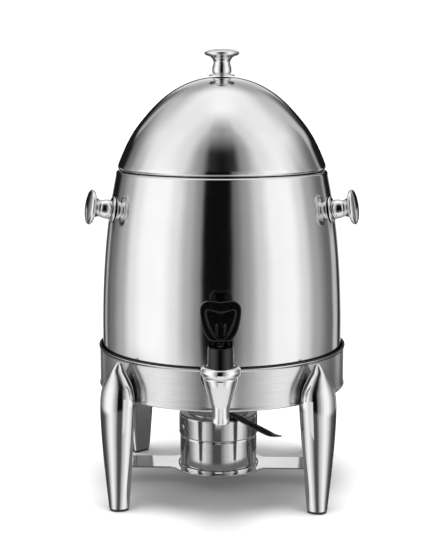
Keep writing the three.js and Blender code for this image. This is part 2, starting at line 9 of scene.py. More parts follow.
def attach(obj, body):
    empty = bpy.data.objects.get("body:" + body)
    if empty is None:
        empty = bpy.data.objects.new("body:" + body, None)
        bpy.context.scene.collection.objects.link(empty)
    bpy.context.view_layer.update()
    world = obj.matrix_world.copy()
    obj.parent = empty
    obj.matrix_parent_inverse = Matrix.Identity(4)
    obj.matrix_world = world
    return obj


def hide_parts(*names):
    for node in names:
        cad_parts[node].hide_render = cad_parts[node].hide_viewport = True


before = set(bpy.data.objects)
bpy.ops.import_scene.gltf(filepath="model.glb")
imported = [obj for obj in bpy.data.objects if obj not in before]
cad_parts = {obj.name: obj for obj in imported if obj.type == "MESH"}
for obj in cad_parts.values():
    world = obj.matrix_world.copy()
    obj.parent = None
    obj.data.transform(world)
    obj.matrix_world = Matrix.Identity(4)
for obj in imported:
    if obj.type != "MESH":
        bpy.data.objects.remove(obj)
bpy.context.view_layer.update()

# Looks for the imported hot-beverage urn: every visible piece is rebuilt here as a fine smooth mesh in the frame's
# own coordinates, so lengths below are the part's driving dimensions in millimetres, scaled once by MM.
scene = bpy.context.scene
scene.view_settings.view_transform = "Standard"
scene.view_settings.look = "None"

MM = 0.001
Y_SHIFT, STAND_TURN = 28.10, -2.35
T = Matrix.Translation


def rz(deg):
    return Matrix.Rotation(math.radians(deg), 4, "Z")


MAIN = Matrix.Scale(MM, 4) @ T((0, Y_SHIFT, 0))
STAND = MAIN @ rz(STAND_TURN)
BURNER_X, BURNER_Y = -4.4, 0.0
BURNER = MAIN @ T(rz(STAND_TURN) @ Vector((BURNER_X, BURNER_Y, 0)))
FAUCET_X, FAUCET_Y, SHANK_Z, SHANK_R, PIN_Z = -1.3, -182.0, 163.0, 9.4, 211.5
FAUCET = MAIN @ T((FAUCET_X, FAUCET_Y, 0))


def along(direction, origin, up=(0, 0, 1)):
    z, u = Vector(direction).normalized(), Vector(up)
    x = u.cross(z)
    x = Vector((1, 0, 0)) if x.length < 1e-6 else x.normalized()
    y = z.cross(x)
    m = Matrix((x, y, z)).transposed().to_4x4()
    m.translation = Vector(origin)
    return m


# ---------------------------------------------------------------- outlines
def crom(pts, per=6):
    """Smooth curve through the points (centripetal Catmull-Rom)."""
    p = [np.array(q, float) for q in pts]
    p = [2 * p[0] - p[1]] + p + [2 * p[-1] - p[-2]]
    out = []
    for i in range(1, len(p) - 2):
        t = [0.0]
        for k in range(3):
            t.append(t[-1] + max(np.linalg.norm(p[i + k] - p[i + k - 1]) ** 0.5, 1e-6))
        for s in range(per):
            u = t[1] + (t[2] - t[1]) * s / per
            a1 = (t[1] - u) / (t[1] - t[0]) * p[i - 1] + (u - t[0]) / (t[1] - t[0]) * p[i]
            a2 = (t[2] - u) / (t[2] - t[1]) * p[i] + (u - t[1]) / (t[2] - t[1]) * p[i + 1]
            a3 = (t[3] - u) / (t[3] - t[2]) * p[i + 1] + (u - t[2]) / (t[3] - t[2]) * p[i + 2]
            b1 = (t[2] - u) / (t[2] - t[0]) * a1 + (u - t[0]) / (t[2] - t[0]) * a2
            b2 = (t[3] - u) / (t[3] - t[1]) * a2 + (u - t[1]) / (t[3] - t[1]) * a3
            out.append((t[2] - u) / (t[2] - t[1]) * b1 + (u - t[1]) / (t[2] - t[1]) * b2)
    out.append(p[-2])
    return [tuple(float(v) for v in q) for q in out]


def bspl(pts, per=6, mirror_start=False):
    """Very smooth curve close to the points (uniform cubic B-spline, ends kept)."""
    p = [np.array(q, float) for q in pts]
    first = p[1] * np.array([-1, 1]) if mirror_start else 2 * p[0] - p[1]
    p = [first] + p + [2 * p[-1] - p[-2]]
    out = []
    for i in range(1, len(p) - 2):
        for s in range(per):
            u = s / per
            w = ((1 - u) ** 3, 3 * u**3 - 6 * u**2 + 4, -3 * u**3 + 3 * u**2 + 3 * u + 1, u**3)
            out.append(sum(w[k] * p[i - 1 + k] for k in range(4)) / 6)
    out.append((p[-3] + 4 * p[-2] + p[-1]) / 6)
    if mirror_start:
        out[0][0] = 0.0
    return [tuple(float(v) for v in q) for q in out]


def fillet(poly, radius, steps=4, closed=True, keep=()):
    """A polygon with its corners rounded; radius may be one number or one per corner, keep lists corners left sharp."""
    n, out = len(poly), []
    for i in range(n):
        r = radius[i] if hasattr(radius, "__len__") else radius
        if i in keep or r <= 0 or (not closed and i in (0, n - 1)):
            out.append(tuple(poly[i]))
            continue
        b = np.array(poly[i], float)
        a, c = np.array(poly[i - 1], float) - b, np.array(poly[(i + 1) % n], float) - b
        la, lc = np.linalg.norm(a), np.linalg.norm(c)
        a, c = a / la, c / lc
        ang = math.acos(max(-1, min(1, float(a @ c))))
        if ang > math.pi - 0.05:
            out.append(tuple(b))
            continue
        d = min(r / math.tan(ang / 2), 0.48 * la, 0.48 * lc)
        rr = d * math.tan(ang / 2)
        mid = (a + c) / np.linalg.norm(a + c)
        o = b + mid * (rr / math.sin(ang / 2))
        s, e = b + a * d - o, b + c * d - o
        sweep = math.atan2(float(s[0] * e[1] - s[1] * e[0]), float(s @ e))
        for k in range(steps + 1):
            t = sweep * k / steps
            out.append((float(o[0] + s[0] * math.cos(t) - s[1] * math.sin(t)), float(o[1] + s[0] * math.sin(t) + s[1] * math.cos(t))))
    return out


# ---------------------------------------------------------------- meshes
def make(name, verts, faces, matrix=None):
    me = bpy.data.meshes.new(name)
    me.from_pydata([tuple(v) for v in verts], [], faces)
    if matrix is not None:
        me.transform(matrix)
    bm = bmesh.new()
    bm.from_mesh(me)
    bmesh.ops.remove_doubles(bm, verts=bm.verts, dist=1e-7)
    bmesh.ops.dissolve_degenerate(bm, edges=bm.edges, dist=1e-8)
    bmesh.ops.recalc_face_normals(bm, faces=bm.faces)
    if bm.calc_volume(signed=True) < 0:
        bmesh.ops.reverse_faces(bm, faces=bm.faces)
    bm.to_mesh(me)
    bm.free()
    me.update()
    return me


def lathe(profile, seg=96, phase=0.0):
    """Closed revolved outline: verts and faces. Outlines that start and end on the axis close there."""
    pts = [(max(r, 0.0), z) for r, z in profile]
    axial = pts[0][0] == 0 and pts[-1][0] == 0
    verts, rows = [], []
    for r, z in pts:
        if r == 0:
            rows.append([len(verts)] * seg)
            verts.append((0, 0, z))
        else:
            rows.append(list(range(len(verts), len(verts) + seg)))
            for j in range(seg):
                a = phase + 2 * math.pi * j / seg
                verts.append((r * math.cos(a), r * math.sin(a), z))
    faces, n = [], len(rows)
    for i in range(n - 1 if axial else n):
        A, B = rows[i], rows[(i + 1) % n]
        for j in range(seg):
            k = (j + 1) % seg
            f = [A[j], A[k], B[k], B[j]]
            f = [v for q, v in enumerate(f) if v not in f[:q]]
            if len(f) > 2:
                faces.append(f)
    return verts, faces


def prism(outline, depth):
    n = len(outline)
    verts = [(x, y, 0) for x, y in outline] + [(x, y, depth) for x, y in outline]
    faces = [list(range(n))[::-1], list(range(n, 2 * n))] + [[i, (i + 1) % n, n + (i + 1) % n, n + i] for i in range(n)]
    return verts, faces


def loft(rings, cap_start=True, cap_end=True):
    n = len(rings[0])
    verts = [p for r in rings for p in r]
    faces = []
    for k in range(len(rings) - 1):
        for i in range(n):
            j = (i + 1) % n
            faces.append([k * n + i, k * n + j, (k + 1) * n + j, (k + 1) * n + i])
    for row, on in ((0, cap_start), (len(rings) - 1, cap_end)):
        if on:
            c = np.mean([verts[row * n + i] for i in range(n)], axis=0)
            verts.append(tuple(c))
            m = len(verts) - 1
            for i in range(n):
                faces.append([m, row * n + i, row * n + (i + 1) % n])
    return verts, faces


def revolve_normals(me, surfaces, limit=14):
    """Exact normals for the parts of a mesh that lie on revolved outlines, so that mirror finishes stay clean next to cuts.
    surfaces: list of (profile, matrix local mm -> metres)."""
    me.update()
    nl = len(me.loops)
    vi = np.zeros(nl, int)
    me.loops.foreach_get("vertex_index", vi)
    co = np.zeros(len(me.vertices) * 3)
    me.vertices.foreach_get("co", co)
    co = co.reshape(-1, 3)
    start, total = np.zeros(len(me.polygons), int), np.zeros(len(me.polygons), int)
    me.polygons.foreach_get("loop_start", start)
    me.polygons.foreach_get("loop_total", total)
    fn = np.zeros(len(me.polygons) * 3)
    me.polygons.foreach_get("normal", fn)
    fn = fn.reshape(-1, 3)
    centre = np.zeros(len(me.polygons) * 3)
    me.polygons.foreach_get("center", centre)
    centre = centre.reshape(-1, 3)
    face_of = np.zeros(nl, int)
    for f in range(len(start)):
        face_of[start[f]:start[f] + total[f]] = f
    normals = fn[face_of].copy()
    done = np.zeros(nl, bool)
    for profile, matrix in surfaces:
        inv = np.array(matrix.inverted(), float)
        rot = np.array(matrix.to_3x3(), float)
        rot /= np.linalg.norm(rot[:, 0])
        p = np.array([q for q in profile], float)
        keep = np.r_[True, np.linalg.norm(np.diff(p, axis=0), axis=1) > 1e-5]
        p = p[keep]
        axial = p[0][0] == 0 and p[-1][0] == 0
        if not axial and np.linalg.norm(p[0] - p[-1]) > 1e-5:
            p = np.vstack([p, p[0]])
        d = np.diff(p, axis=0)
        length = np.linalg.norm(d, axis=1)
        n2 = np.stack([d[:, 1], -d[:, 0]], 1) / length[:, None]
        area = np.sum(p[:-1, 0] * p[1:, 1] - p[1:, 0] * p[:-1, 1])
        if area < 0:
            n2 = -n2
        m = len(n2)
        na, nb = n2.copy(), n2.copy()
        for i in range(m):
            for j, arr, side in ((i - 1, na, 0), (i + 1, nb, 1)):
                if axial and not 0 <= j < m:
                    arr[i] = np.array([0, np.sign(n2[i][1])]) if abs(n2[i][1]) > 0.9 else n2[i]
                    continue
                j %= m
                if n2[i] @ n2[j] > math.cos(math.radians(32)):
                    v = n2[i] * length[i] + n2[j] * length[j]
                    arr[i] = v / np.linalg.norm(v)
        # faces that belong to this surface
        cl = centre @ inv[:3, :3].T + inv[:3, 3]
        fl = fn @ rot
        rr = np.hypot(cl[:, 0], cl[:, 1])
        rr_safe = np.maximum(rr, 1e-9)
        er = cl[:, :2] / rr_safe[:, None]
        f2 = np.stack([np.sum(fl[:, :2] * er, 1), fl[:, 2]], 1)
        tang = fl[:, 0] * -er[:, 1] + fl[:, 1] * er[:, 0]
        best = np.full(len(cl), -1)
        bd = np.full(len(cl), 1e9)
        for i in range(m):
            a, b = p[i], p[i + 1]
            t = np.clip(((rr - a[0]) * d[i][0] + (cl[:, 2] - a[1]) * d[i][1]) / length[i] ** 2, 0, 1)
            dist = np.hypot(rr - a[0] - t * d[i][0], cl[:, 2] - a[1] - t * d[i][1])
            ok = (f2 @ n2[i] > math.cos(math.radians(limit))) & (dist < bd)
            best[ok], bd[ok] = i, dist[ok]
        hit = (best >= 0) & (bd < 0.6) & (np.abs(tang) < math.sin(math.radians(limit)))
        lm = hit[face_of] & ~done
        li = np.nonzero(lm)[0]
        if not len(li):
            continue
        vl = co[vi[li]] @ inv[:3, :3].T + inv[:3, 3]
        vr = np.hypot(vl[:, 0], vl[:, 1])
        fcl = cl[face_of[li]]
        ang = np.where(vr > 1e-4, np.arctan2(vl[:, 1], vl[:, 0]), np.arctan2(fcl[:, 1], fcl[:, 0]))
        s = best[face_of[li]]
        t = np.clip(((vr - p[s, 0]) * d[s, 0] + (vl[:, 2] - p[s, 1]) * d[s, 1]) / length[s] ** 2, 0, 1)
        n = na[s] * (1 - t)[:, None] + nb[s] * t[:, None]
        n /= np.linalg.norm(n, axis=1)[:, None]
        loc = np.stack([n[:, 0] * np.cos(ang), n[:, 0] * np.sin(ang), n[:, 1]], 1)
        normals[li] = loc @ rot.T
        done[li] = True
    me.polygons.foreach_set("use_smooth", np.ones(len(me.polygons), bool))
    me.normals_split_custom_set([tuple(n) for n in normals])
    return me


def cut(me, tools, op="DIFFERENCE"):
    """Mesh boolean with one or more tool meshes, exact."""
    a = bpy.data.objects.new("cut_tmp", me)
    scene.collection.objects.link(a)
    made = []
    for t in tools:
        b = bpy.data.objects.new("tool_tmp", t)
        scene.collection.objects.link(b)
        m = a.modifiers.new("b", "BOOLEAN")
        m.operation, m.object, m.solver = op, b, "EXACT"
        made.append(b)
    dg = bpy.context.evaluated_depsgraph_get()
    out = bpy.data.meshes.new_from_object(a.evaluated_get(dg))
    for o in [a, *made]:
        bpy.data.objects.remove(o)
    return out


def piece(name, me, mat, body, nodes=None, slot=None, angle=32, bevel=0.0, weighted=True, custom=False, segments=2):
    """An object from a mesh, riding on its CAD body and standing for its CAD node."""
    me.name = name + "_mesh"
    me.materials.clear()
    me.materials.append(mat)
    o = bpy.data.objects.new(name, me)
    scene.collection.objects.link(o)
    if not custom:
        me.polygons.foreach_set("use_smooth", np.ones(len(me.polygons), bool))
        if bevel > 0:
            b = o.modifiers.new("edge_round", "BEVEL")
            b.width, b.segments, b.limit_method, b.angle_limit = bevel * MM, segments, "ANGLE", math.radians(angle)
            b.use_clamp_overlap, b.harden_normals = True, False
        else:
            me.set_sharp_from_angle(angle=math.radians(angle))
        if weighted:
            w = o.modifiers.new("face_normals", "WEIGHTED_NORMAL")
            w.keep_sharp, w.weight = True, 60
    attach(o, body)
    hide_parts(*(nodes or [name]))
    return o


def turned(name, profile, mat, body, matrix, seg=96, phase=0.0, **kw):
    """A revolved piece with exact normals."""
    v, f = lathe(profile, seg, phase)
    me = make(name, v, f, matrix)
    revolve_normals(me, [(profile, matrix)])
    return piece(name, me, mat, body, custom=True, **kw)


# ---------------------------------------------------------------- materials
class Nodes:
    """Short-hand for building node trees."""

    def __init__(self, tree):
        self.t = tree

    def new(self, kind, **values):
        n = self.t.nodes.new(kind)
        for k, v in values.items():
            if k.startswith("_"):
                setattr(n, k[1:], v)
            else:
                n.inputs[k.replace("__", " ")].default_value = v
        return n

    def link(self, a, b):
        self.t.links.new(a, b)

    def math(self, op, a, b=None, clamp=False):
        n = self.t.nodes.new("ShaderNodeMath")
        n.operation, n.use_clamp = op, clamp
        for i, v in enumerate((a, b)):
            if v is None:
                continue
            if isinstance(v, (int, float)):
                n.inputs[i].default_value = v
            else:
                self.link(v, n.inputs[i])
        return n.outputs[0]

    def remap(self, v, a, b, c, d, smooth=False):
        n = self.t.nodes.new("ShaderNodeMapRange")
        n.interpolation_type = "SMOOTHSTEP" if smooth else "LINEAR"
        for i, x in enumerate((v, a, b, c, d)):
            if isinstance(x, (int, float)):
                n.inputs[i].default_value = x
            else:
                self.link(x, n.inputs[i])
        return n.outputs[0]

    def mix(self, f, a, b):
        n = self.t.nodes.new("ShaderNodeMix")
        n.data_type = "RGBA"
        for key, v in (("Factor", f), ("A", a), ("B", b)):
            sock = [s for s in n.inputs if s.name == key and (s.type == "VALUE" if key == "Factor" else s.type == "RGBA")][0]
            if isinstance(v, (int, float)):
                sock.default_value = v
            elif isinstance(v, (tuple, list)):
                sock.default_value = (*v, 1) if len(v) == 3 else v
            else:
                self.link(v, sock)
        return [s for s in n.outputs if s.type == "RGBA"][0]

    def noise(self, vec, scale, detail=3.0, rough=0.55, distortion=0.0):
        n = self.new("ShaderNodeTexNoise", Scale=scale, Detail=detail, Roughness=rough, Distortion=distortion)
        self.link(vec, n.inputs["Vector"])
        return n.outputs[0]

    def stretched(self, vec, scale):
        m = self.new("ShaderNodeMapping", Scale=scale)
        self.link(vec, m.inputs["Vector"])
        return m.outputs[0]

    def bump(self, height, strength, distance, normal=None):
        n = self.new("ShaderNodeBump", Strength=strength, Distance=distance)
        self.link(height, n.inputs["Height"])
        if normal is not None:
            self.link(normal, n.inputs["Normal"])
        return n.outputs[0]


def material(name):
    m = bpy.data.materials.new(name)
    m.use_nodes = True
    m.node_tree.nodes.clear()
    k = Nodes(m.node_tree)
    out = k.new("ShaderNodeOutputMaterial")
    p = k.new("ShaderNodeBsdfPrincipled")
    k.link(p.outputs[0], out.inputs[0])
    return m, k, p


def polar(k, centre=(0.0, 0.0)):
    """(angle, radius, height) of the shaded point round a vertical axis, as one vector; grain follows the turning of round parts."""
    tc = k.new("ShaderNodeTexCoord")
    sep = k.new("ShaderNodeSeparateXYZ")
    k.link(tc.outputs["Object"], sep.inputs[0])
    x, y = k.math("SUBTRACT", sep.outputs[0], centre[0]), k.math("SUBTRACT", sep.outputs[1], centre[1])
    ang = k.math("ARCTAN2", y, x)
    rad = k.math("SQRT", k.math("ADD", k.math("MULTIPLY", x, x), k.math("MULTIPLY", y, y)))
    comb = k.new("ShaderNodeCombineXYZ")
    k.link(ang, comb.inputs[0])
    k.link(rad, comb.inputs[1])
    k.link(sep.outputs[2], comb.inputs[2])
    return comb.outputs[0], tc.outputs["Object"], sep.outputs


def polished(name, centre=(0.0, Y_SHIFT * MM), base=(0.72, 0.722, 0.728), rough=(0.045, 0.10), wave=0.0022, hair=0.02):
    """Mirror-polished sheet: faint turning lines, slight waviness of the sheet, handling smudges in the gloss."""
    m, k, p = material(name)
    pol, obj, _ = polar(k, centre)
    lines = k.noise(k.stretched(pol, (3.0, 2600.0, 2600.0)), 1.0, 4.0, 0.7)
    fine = k.noise(k.stretched(pol, (60.0, 9000.0, 9000.0)), 1.0, 2.0, 0.6)
    smudge = k.noise(obj, 22.0, 4.0, 0.6, 0.4)
    soft = k.noise(obj, 9.0, 2.0, 0.5)
    r = k.remap(k.math("ADD", k.math("MULTIPLY", smudge, 0.6), k.math("MULTIPLY", lines, 0.4)), 0.35, 0.7, rough[0], rough[1])
    k.link(r, p.inputs["Roughness"])
    c = k.mix(k.remap(smudge, 0.3, 0.75, 0, 1), base, tuple(v * 0.965 for v in base))
    c = k.mix(k.remap(lines, 0.62, 0.8, 0, 0.35), c, tuple(v * 0.86 for v in base))
    k.link(c, p.inputs["Base Color"])
    p.inputs["Metallic"].default_value = 1.0
    b = k.bump(soft, 0.35, wave)
    b = k.bump(lines, hair, 0.0002, b)
    b = k.bump(fine, hair * 0.6, 0.0001, b)
    k.link(b, p.inputs["Normal"])
    return m


def brushed(name, centre, base=(0.62, 0.62, 0.625), rough=(0.16, 0.30), strength=0.16, flat=False, aniso=0.6):
    """Fine brushed steel; the grain runs round the axis, or along X when flat."""
    m, k, p = material(name)
    pol, obj, _ = polar(k, centre)
    src = k.stretched(obj, (14.0, 2400.0, 2400.0)) if flat else k.stretched(pol, (2.2, 2600.0, 2600.0))
    grain = k.noise(src, 1.0, 5.0, 0.75)
    src2 = k.stretched(obj, (90.0, 7000.0, 7000.0)) if flat else k.stretched(pol, (16.0, 7600.0, 7600.0))
    fine = k.noise(src2, 1.0, 3.0, 0.65)
    stain = k.noise(obj, 38.0, 4.0, 0.6, 0.6)
    both = k.math("ADD", k.math("MULTIPLY", grain, 0.6), k.math("MULTIPLY", fine, 0.4))
    k.link(k.remap(both, 0.3, 0.7, rough[0], rough[1]), p.inputs["Roughness"])
    c = k.mix(k.remap(both, 0.35, 0.65, 0, 1), tuple(v * 0.84 for v in base), tuple(min(v * 1.1, 1) for v in base))
    c = k.mix(k.remap(stain, 0.5, 0.8, 0, 0.4), c, (base[0] * 0.84, base[1] * 0.8, base[2] * 0.74))
    k.link(c, p.inputs["Base Color"])
    p.inputs["Metallic"].default_value = 1.0
    p.inputs["Anisotropic"].default_value = aniso
    t = k.new("ShaderNodeTangent", _direction_type="RADIAL", _axis="Z")
    if not flat:
        k.link(t.outputs[0], p.inputs["Tangent"])
    k.link(k.bump(both, strength, 0.0002), p.inputs["Normal"])
    return m


def edge_mask(k, lo=0.52, hi=0.6):
    g = k.new("ShaderNodeNewGeometry")
    return k.remap(g.outputs["Pointiness"], lo, hi, 0, 1)


def dark_steel(name):
    """Near-black steel lever strip with a faint heat tint, lighter along its edges."""
    m, k, p = material(name)
    _, obj, _ = polar(k)
    n = k.noise(obj, 70.0, 6.0, 0.65, 0.5)
    heat = k.noise(obj, 18.0, 2.0, 0.5)
    c = k.mix(k.remap(n, 0.3, 0.7, 0, 1), (0.035, 0.035, 0.04), (0.11, 0.105, 0.10))
    c = k.mix(k.remap(heat, 0.45, 0.7, 0, 0.5), c, (0.09, 0.075, 0.095))
    c = k.mix(edge_mask(k), c, (0.36, 0.36, 0.37))
    k.link(c, p.inputs["Base Color"])
    p.inputs["Metallic"].default_value = 1.0
    k.link(k.remap(n, 0.3, 0.7, 0.12, 0.26), p.inputs["Roughness"])
    k.link(k.bump(n, 0.15, 0.0003), p.inputs["Normal"])
    return m


def plastic(name, base=(0.0022, 0.0022, 0.0024)):
    """Satin moulded black plastic: fine spark grain, polished on the rims that hands rub."""
    m, k, p = material(name)
    _, obj, _ = polar(k)
    grain = k.new("ShaderNodeTexVoronoi", Scale=1500.0)
    k.link(obj, grain.inputs["Vector"])
    cloud = k.noise(obj, 120.0, 5.0, 0.6)
    wear = edge_mask(k, 0.53, 0.62)
    c = k.mix(k.remap(cloud, 0.3, 0.7, 0, 1), base, tuple(v * 1.7 for v in base))
    c = k.mix(k.math("MULTIPLY", wear, 0.25), c, (0.02, 0.02, 0.021))
    k.link(c, p.inputs["Base Color"])
    r = k.remap(cloud, 0.3, 0.7, 0.06, 0.11)
    k.link(k.math("SUBTRACT", r, k.math("MULTIPLY", wear, 0.03)), p.inputs["Roughness"])
    p.inputs["IOR"].default_value = 1.5
    p.inputs["Specular IOR Level"].default_value = 0.42
    b = k.bump(grain.outputs["Distance"], 0.02, 0.0001)
    k.link(k.bump(cloud, 0.03, 0.0004, b), p.inputs["Normal"])
    return m


def rubber(name, base, rough=0.8, soft=0.0):
    m, k, p = material(name)
    _, obj, _ = polar(k)
    n = k.noise(obj, 260.0, 6.0, 0.7)
    dust = k.noise(obj, 45.0, 3.0, 0.6)
    c = k.mix(k.remap(n, 0.3, 0.7, 0, 1), tuple(v * 0.8 for v in base), tuple(min(v * 1.25, 1) for v in base))
    c = k.mix(k.remap(dust, 0.5, 0.8, 0, 0.25), c, (0.35, 0.34, 0.32))
    k.link(c, p.inputs["Base Color"])
    k.link(k.remap(n, 0.3, 0.7, rough - 0.12, min(rough + 0.1, 1)), p.inputs["Roughness"])
    if soft:
        p.inputs["Subsurface Weight"].default_value = soft
        p.inputs["Subsurface Radius"].default_value = (0.004, 0.0035, 0.003)
    k.link(k.bump(n, 0.25, 0.0003), p.inputs["Normal"])
    return m


BC = tuple((BURNER.translation)[:2])
MIRROR = polished("mirror_steel", rough=(0.07, 0.12))
LEG_STEEL = polished("leg_steel", rough=(0.05, 0.10), wave=0.0012, hair=0.012)
# the legs' inward faces: brushed steel with a darker base colour than the legs, painted shade for the shaded underside
# of the stand they reflect
LEG_BACK_PAINTED_SHADE = brushed("leg_back_painted_shade_steel", (0.0, Y_SHIFT * MM), base=(0.40, 0.40, 0.405), rough=(0.22, 0.34), strength=0.1, flat=True, aniso=0.2)
BAND_STEEL = brushed("band_steel", (0.0, Y_SHIFT * MM), base=(0.66, 0.662, 0.668), rough=(0.15, 0.24), strength=0.05, aniso=0.5)
# near-black steel for the band's rolled rim top and inside: painted shade for the dark gap between body and band
BAND_RIM_PAINTED_SHADE = brushed("band_rim_painted_shade", (0.0, Y_SHIFT * MM), base=(0.03, 0.03, 0.032), rough=(0.3, 0.4), strength=0.05, aniso=0.2)
CHROME = polished("chrome", centre=(FAUCET_X * MM, (Y_SHIFT + FAUCET_Y) * MM), base=(0.77, 0.773, 0.78), rough=(0.03, 0.07), wave=0.0008, hair=0.01)
CHROME_KNOB = polished("chrome_knob", centre=(0.0, Y_SHIFT * MM), base=(0.77, 0.773, 0.78), rough=(0.03, 0.075), wave=0.0006, hair=0.008)
BURNER_STEEL = brushed("burner_steel", BC, base=(0.66, 0.655, 0.65), rough=(0.05, 0.13), strength=0.05, aniso=0.35)
SHELF_STEEL = polished("shelf_steel", base=(0.70, 0.702, 0.708), rough=(0.07, 0.13), wave=0.0012, hair=0.015)
DARK = dark_steel("dark_steel")
BLACK = plastic("black_plastic")
RUBBER = rubber("rubber_foot", (0.03, 0.03, 0.03))
SILICONE = rubber("silicone", (0.62, 0.63, 0.6), 0.5, 0.3)
FASTENER = brushed("fastener_steel", (0.0, 0.0), base=(0.58, 0.585, 0.59), rough=(0.2, 0.34), strength=0.1, aniso=0.2)


# ---------------------------------------------------------------- urn body
WALL = [(120.0, 126.0), (126.0, 126.0), (132.5, 127.6), (137.2, 131.5), (140.2, 137.5), (141.8, 146), (142.6, 158), (142.8, 172), (142.8, 190), (142.7, 205),
        (142.3, 220), (141.6, 240), (140.5, 260), (139.1, 280), (137.2, 300), (134.8, 320), (131.8, 340), (128.4, 358), (125.9, 370), (125.0, 375.5)]
body_profile = (
    [(0, 129.0), (60, 128.7), (108, 128.1), (114, 127.3)]
    + bspl(WALL, 5)
    + crom([(124.7, 377.1), (124.0, 378.2), (122.0, 379.5), (119.6, 379.8), (117.9, 379.2), (117.4, 378.0), (117.7, 377.4)], 4)
    + [(118.9, 378.3), (121.4, 378.2), (123.0, 376.8)]
    + crom([(123.8, 375.2), (126.9, 359.7), (133.2, 323.8), (138.0, 279.8), (140.4, 240), (141.5, 205), (141.5, 170), (141.2, 152.2), (138.9, 137.7), (134.3, 130.2), (125.6, 127.2)], 5)
    + [(120.2, 127.2), (112, 129.1), (0, 130.1)]
)
KNOB_AZ, KNOB_Z = math.radians(18), 336.5
KNOB_TILT = math.atan2(3.0, 19.0)
KNOB_R = 134.3 - 3.0 * 12.5 / 19.0


def knob_frame(s, t=0.0):
    e = Vector((s * math.cos(KNOB_AZ), -math.sin(KNOB_AZ), 0))
    d = Vector((math.cos(KNOB_TILT) * e[0], math.cos(KNOB_TILT) * e[1], math.sin(KNOB_TILT)))
    return along(d, Vector((e[0] * KNOB_R, e[1] * KNOB_R, KNOB_Z)) + d * t)


def rod(r, l, seg=48):
    return [(0, 0), (r, 0), (r, l), (0, l)], seg


def tool(profile_seg, matrix):
    v, f = lathe(*profile_seg)
    return make("tool", v, f, matrix)


v, f = lathe(body_profile, 192)
body_me = make("urn_body", v, f, MAIN)
body_me = cut(body_me, [tool(rod(9.9, 20, 64), MAIN @ along((0, -1, 0), (FAUCET_X, -132, SHANK_Z)))]
              + [tool(rod(2.3, 12), MAIN @ knob_frame(s, -6)) for s in (-1, 1)])
revolve_normals(body_me, [(body_profile, MAIN)])
piece("urn_shell", body_me, MIRROR, "urn", ["urn_body"], "mirror_steel", custom=True)

# ---------------------------------------------------------------- lid
LID = [(0, 488.5), (10, 488.1), (20, 486.9), (30, 484.6), (40, 481.2), (50, 476.5), (59.4, 470.9), (68.6, 464), (77, 456.4), (86.3, 446.6), (94.5, 436.9),
       (101.6, 427.8), (107.2, 418.8), (112, 410), (116.6, 400), (120.4, 391), (122.1, 386.4)]
lid_profile = (
    bspl(LID, 5, mirror_start=True)
    + crom([(122.35, 385.2), (122.5, 384), (122.1, 382), (120.9, 380.8), (119.3, 380.4)], 4)
    + [(117.4, 380.4), (116.6, 380.1), (116.4, 379.4), (116.4, 370.0), (116.2, 369.6), (115.9, 369.5), (115.6, 369.6), (115.4, 370.0), (115.4, 380.6), (115.8, 381.3), (116.6, 381.5), (119.2, 381.6)]
    + crom([(120.2, 382.2), (120.9, 383.4), (121.0, 385.0), (119.0, 391.0), (116.0, 398.8), (108.6, 414.2), (99.1, 429.2), (87.6, 443.5), (74.7, 457.1), (61.0, 468.6), (46.8, 476.9), (30, 483.5), (14, 486.7)], 4)
    + [(0, 487.4)]
)
v, f = lathe(lid_profile, 192)
lid_me = cut(make("lid", v, f, MAIN), [tool(rod(2.3, 8), MAIN @ T((0, 0, 484)))])
revolve_normals(lid_me, [(lid_profile, MAIN)])
piece("lid_dome", lid_me, MIRROR, "lid", ["lid_shell"], "mirror_steel", custom=True)

# ---------------------------------------------------------------- knobs
KNOB = (
    [(0, 12), (2.1, 12), (2.1, 3.1), (2.4, 2.9), (9.6, 2.9)]
    + crom([(10.2, 3.1), (10.9, 4), (11.2, 6.5), (11.1, 9.2), (10.6, 11.6), (9.9, 14), (9.7, 15.8), (10.1, 17.8), (11.1, 19.9), (12.8, 21.8), (15.6, 23.1), (18.7, 24.2),
            (20.0, 25.4), (20.3, 26.7), (19.6, 28.2), (15.6, 29.9), (8.5, 31.1), (3.0, 31.45)], 5)
    + [(0, 31.5)]
)
FLANGE = [(2.4, 0.35), (14.9, 0.35), (15.2, 0.55)] + crom([(15.15, 0.9), (14.6, 1.7), (13.4, 2.3), (12.0, 2.6)], 4) + [(2.4, 2.6)]


def screw_profile(head_r, head_t, r, l):
    """Pan head with a driver recess, head towards -Z."""
    return ([(0, -head_t + 1.1), (head_r * 0.26, -head_t + 1.1), (head_r * 0.36, -head_t + 0.1), (head_r * 0.42, -head_t)]
            + crom([(head_r * 0.62, -head_t * 0.99), (head_r * 0.86, -head_t * 0.78), (head_r * 0.98, -head_t * 0.42), (head_r, -0.15)], 3)
            + [(head_r - 0.15, 0), (r, 0), (r, l - 0.5), (r - 0.4, l), (0, l)])


for side, s in (("left", -1), ("right", 1)):
    turned(f"knob_{side}", [(r * 0.995, z * 0.995) for r, z in KNOB], CHROME_KNOB, "urn", MAIN @ knob_frame(s), 72, nodes=[f"side_knob_{side}"], slot="chrome")
    turned(f"knob_flange_{side}", FLANGE, CHROME_KNOB, "urn", MAIN @ knob_frame(s), 72, nodes=[f"side_knob_flange_{side}"], slot="chrome")
    turned(f"knob_screw_{side}", screw_profile(4.2, 2.2, 1.75, 11.2), FASTENER, "urn", MAIN @ knob_frame(s, -2.3), 40, nodes=[f"side_knob_screw_{side}"], slot="fastener_steel")
lid_top = MAIN @ T((0, 0, 488.5))
turned("dome_knob", KNOB, CHROME_KNOB, "lid", lid_top, 96, nodes=["lid_knob"], slot="chrome")
turned("dome_knob_flange", FLANGE, CHROME_KNOB, "lid", lid_top, 96, nodes=["lid_knob_flange"], slot="chrome")
turned("dome_knob_screw", screw_profile(4.2, 2.2, 1.75, 11.2), FASTENER, "lid", MAIN @ T((0, 0, 486.8)), 40, nodes=["lid_knob_screw"], slot="fastener_steel")

